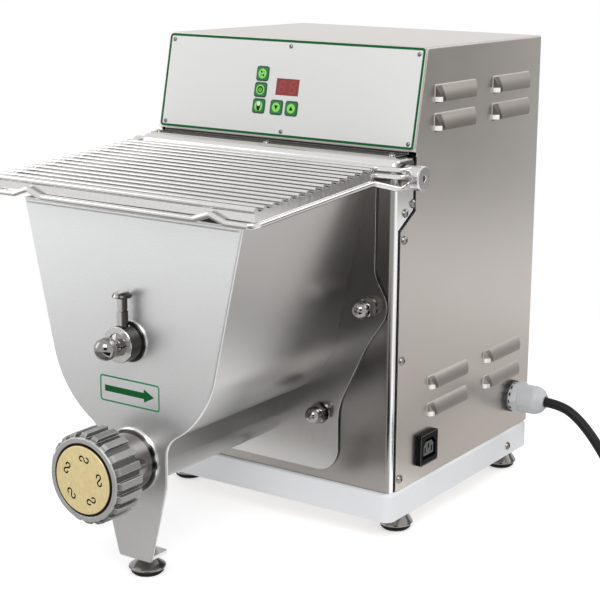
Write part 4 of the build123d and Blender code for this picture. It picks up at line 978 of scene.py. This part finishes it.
# floor, lamps, and cards that only reflections see
studio = {
    "floorSize": 40.0,
    "floorTone": 0.80,
    "floorRoughness": 0.9,
    "near": 0.55,  # the floor's own light beside the object, for the camera and for reflections
    "nearReach": 0.45,
    "farReach": 1.0,  # from here on the floor is plain white paper
    "world": 0.60,
    "aim": (0, 0, 0.22),
    "lamps": (("key", 24.0, (1.0, -1.7, 1.9), (1.5, 1.1)),
              ("fill", 9.0, (-1.9, -1.2, 1.1), (1.0, 1.6)),
              ("rim", 8.0, (1.6, 1.6, 1.5), (1.2, 1.2))),
    "cards": (("lowCard", (0.34, -0.60, 0.004), (0.38, 0.75), (0, 0, 1), 0.03),
              ("rearCard", (1.42, 1.34, 0.5), (1.4, 1.0), (-0.5, -0.85, 0.1), 0.28),
              ("viewerCard", (1.55, -2.15, 0.95), (1.5, 1.3), (-0.55, 0.78, -0.3), 0.03),
              ("frontCard", (-0.28, -0.60, 0.004), (0.75, 0.82), (0, 0, 1), 0.42),
              ("sideCard", (0.45, 0.46, 0.004), (0.66, 0.62), (0, 0, 1), 0.74)),
    "cardTint": (1, 0.97, 0.94, 1),
    "sky": (0.98, 0.99, 1, 1),
}


def addFlat(name, width, depth, place):
    shape = bmesh.new()
    bmesh.ops.create_grid(shape, x_segments=1, y_segments=1, size=0.5)
    bmesh.ops.scale(shape, vec=(width, depth, 1), verts=shape.verts)
    bmesh.ops.transform(shape, matrix=place, verts=shape.verts)
    return addMesh(name, shape)


# 1 for the rays that see the studio itself: from the camera, off a gloss or through glass
def seenRays(tree):
    rays = addNode(tree, "LightPath").outputs
    direct = maths(tree, "ADD", rays["Is Camera Ray"], rays["Is Glossy Ray"], clamp=True)
    return maths(tree, "ADD", direct, rays["Is Transmission Ray"], clamp=True)


def addFloor(s):
    floor = addFlat("studioFloor", s["floorSize"], s["floorSize"], Matrix())
    made, tree, shader, place = startMaterial("floorPaper", (s["floorTone"],) * 3, s["floorRoughness"])
    shader.inputs["Specular IOR Level"].default_value = 0.0
    reach = addNode(tree, "VectorMath", {0: place}, operation="LENGTH").outputs["Value"]
    far = addNode(tree, "MapRange", {"Value": reach, "From Min": s["nearReach"], "From Max": s["farReach"]},
                  interpolation_type="SMOOTHSTEP").outputs[0]
    glow = addNode(tree, "Emission", {"Color": white, "Strength": s["near"]})
    lit = addNode(tree, "AddShader", {0: shader.outputs[0], 1: glow.outputs[0]})
    paper = addNode(tree, "Emission", {"Color": white, "Strength": 1.0})
    shown = addNode(tree, "MixShader", {0: far, 1: lit.outputs[0], 2: paper.outputs[0]})
    mixed = addNode(tree, "MixShader", {0: seenRays(tree), 1: shader.outputs[0], 2: shown.outputs[0]})
    tree.links.new(mixed.outputs[0], tree.nodes["Material Output"].inputs["Surface"])
    floor.data.materials.append(made)


def addWorld(s):
    world = bpy.context.scene.world or bpy.data.worlds.new("studio")
    bpy.context.scene.world = world
    world.use_nodes = True
    tree = world.node_tree
    tree.nodes.clear()
    soft = addNode(tree, "Background", {"Color": s["sky"], "Strength": s["world"]})
    plain = addNode(tree, "Background", {"Color": white, "Strength": 1.0})
    mixed = addNode(tree, "MixShader", {0: seenRays(tree), 1: soft.outputs[0], 2: plain.outputs[0]})
    out = addNode(tree, "OutputWorld")
    tree.links.new(mixed.outputs[0], out.inputs["Surface"])


def addLamps(s):
    for name, power, place, size in s["lamps"]:
        lamp = bpy.data.lights.new(name, "AREA")
        lamp.shape = "RECTANGLE"
        lamp.size, lamp.size_y = size
        lamp.energy = power
        light = addObject(name, lamp)
        light.location = place
        light.rotation_mode = "QUATERNION"
        light.rotation_quaternion = (Vector(place) - Vector(s["aim"])).to_track_quat("Z", "Y")


def addCards(s):
    for name, place, size, facing, tone in s["cards"]:
        turn = Vector(facing).to_track_quat("Z", "Y").to_matrix().to_4x4()
        card = addFlat(name, *size, Matrix.Translation(place) @ turn)
        made, tree, shader, _ = startMaterial(name, (0.0, 0.0, 0.0), 1.0)
        shader.inputs["Specular IOR Level"].default_value = 0.0
        glow = addNode(tree, "Emission", {"Color": s["cardTint"], "Strength": tone})
        tree.links.new(glow.outputs[0], tree.nodes["Material Output"].inputs["Surface"])
        card.data.materials.append(made)
        card.visible_camera = False
        card.visible_diffuse = False
        card.visible_shadow = False
        card.visible_transmission = False


addFloor(studio)
addWorld(studio)
addLamps(studio)
addCards(studio)
bpy.context.scene.view_settings.view_transform = "Standard"
print("studio set")
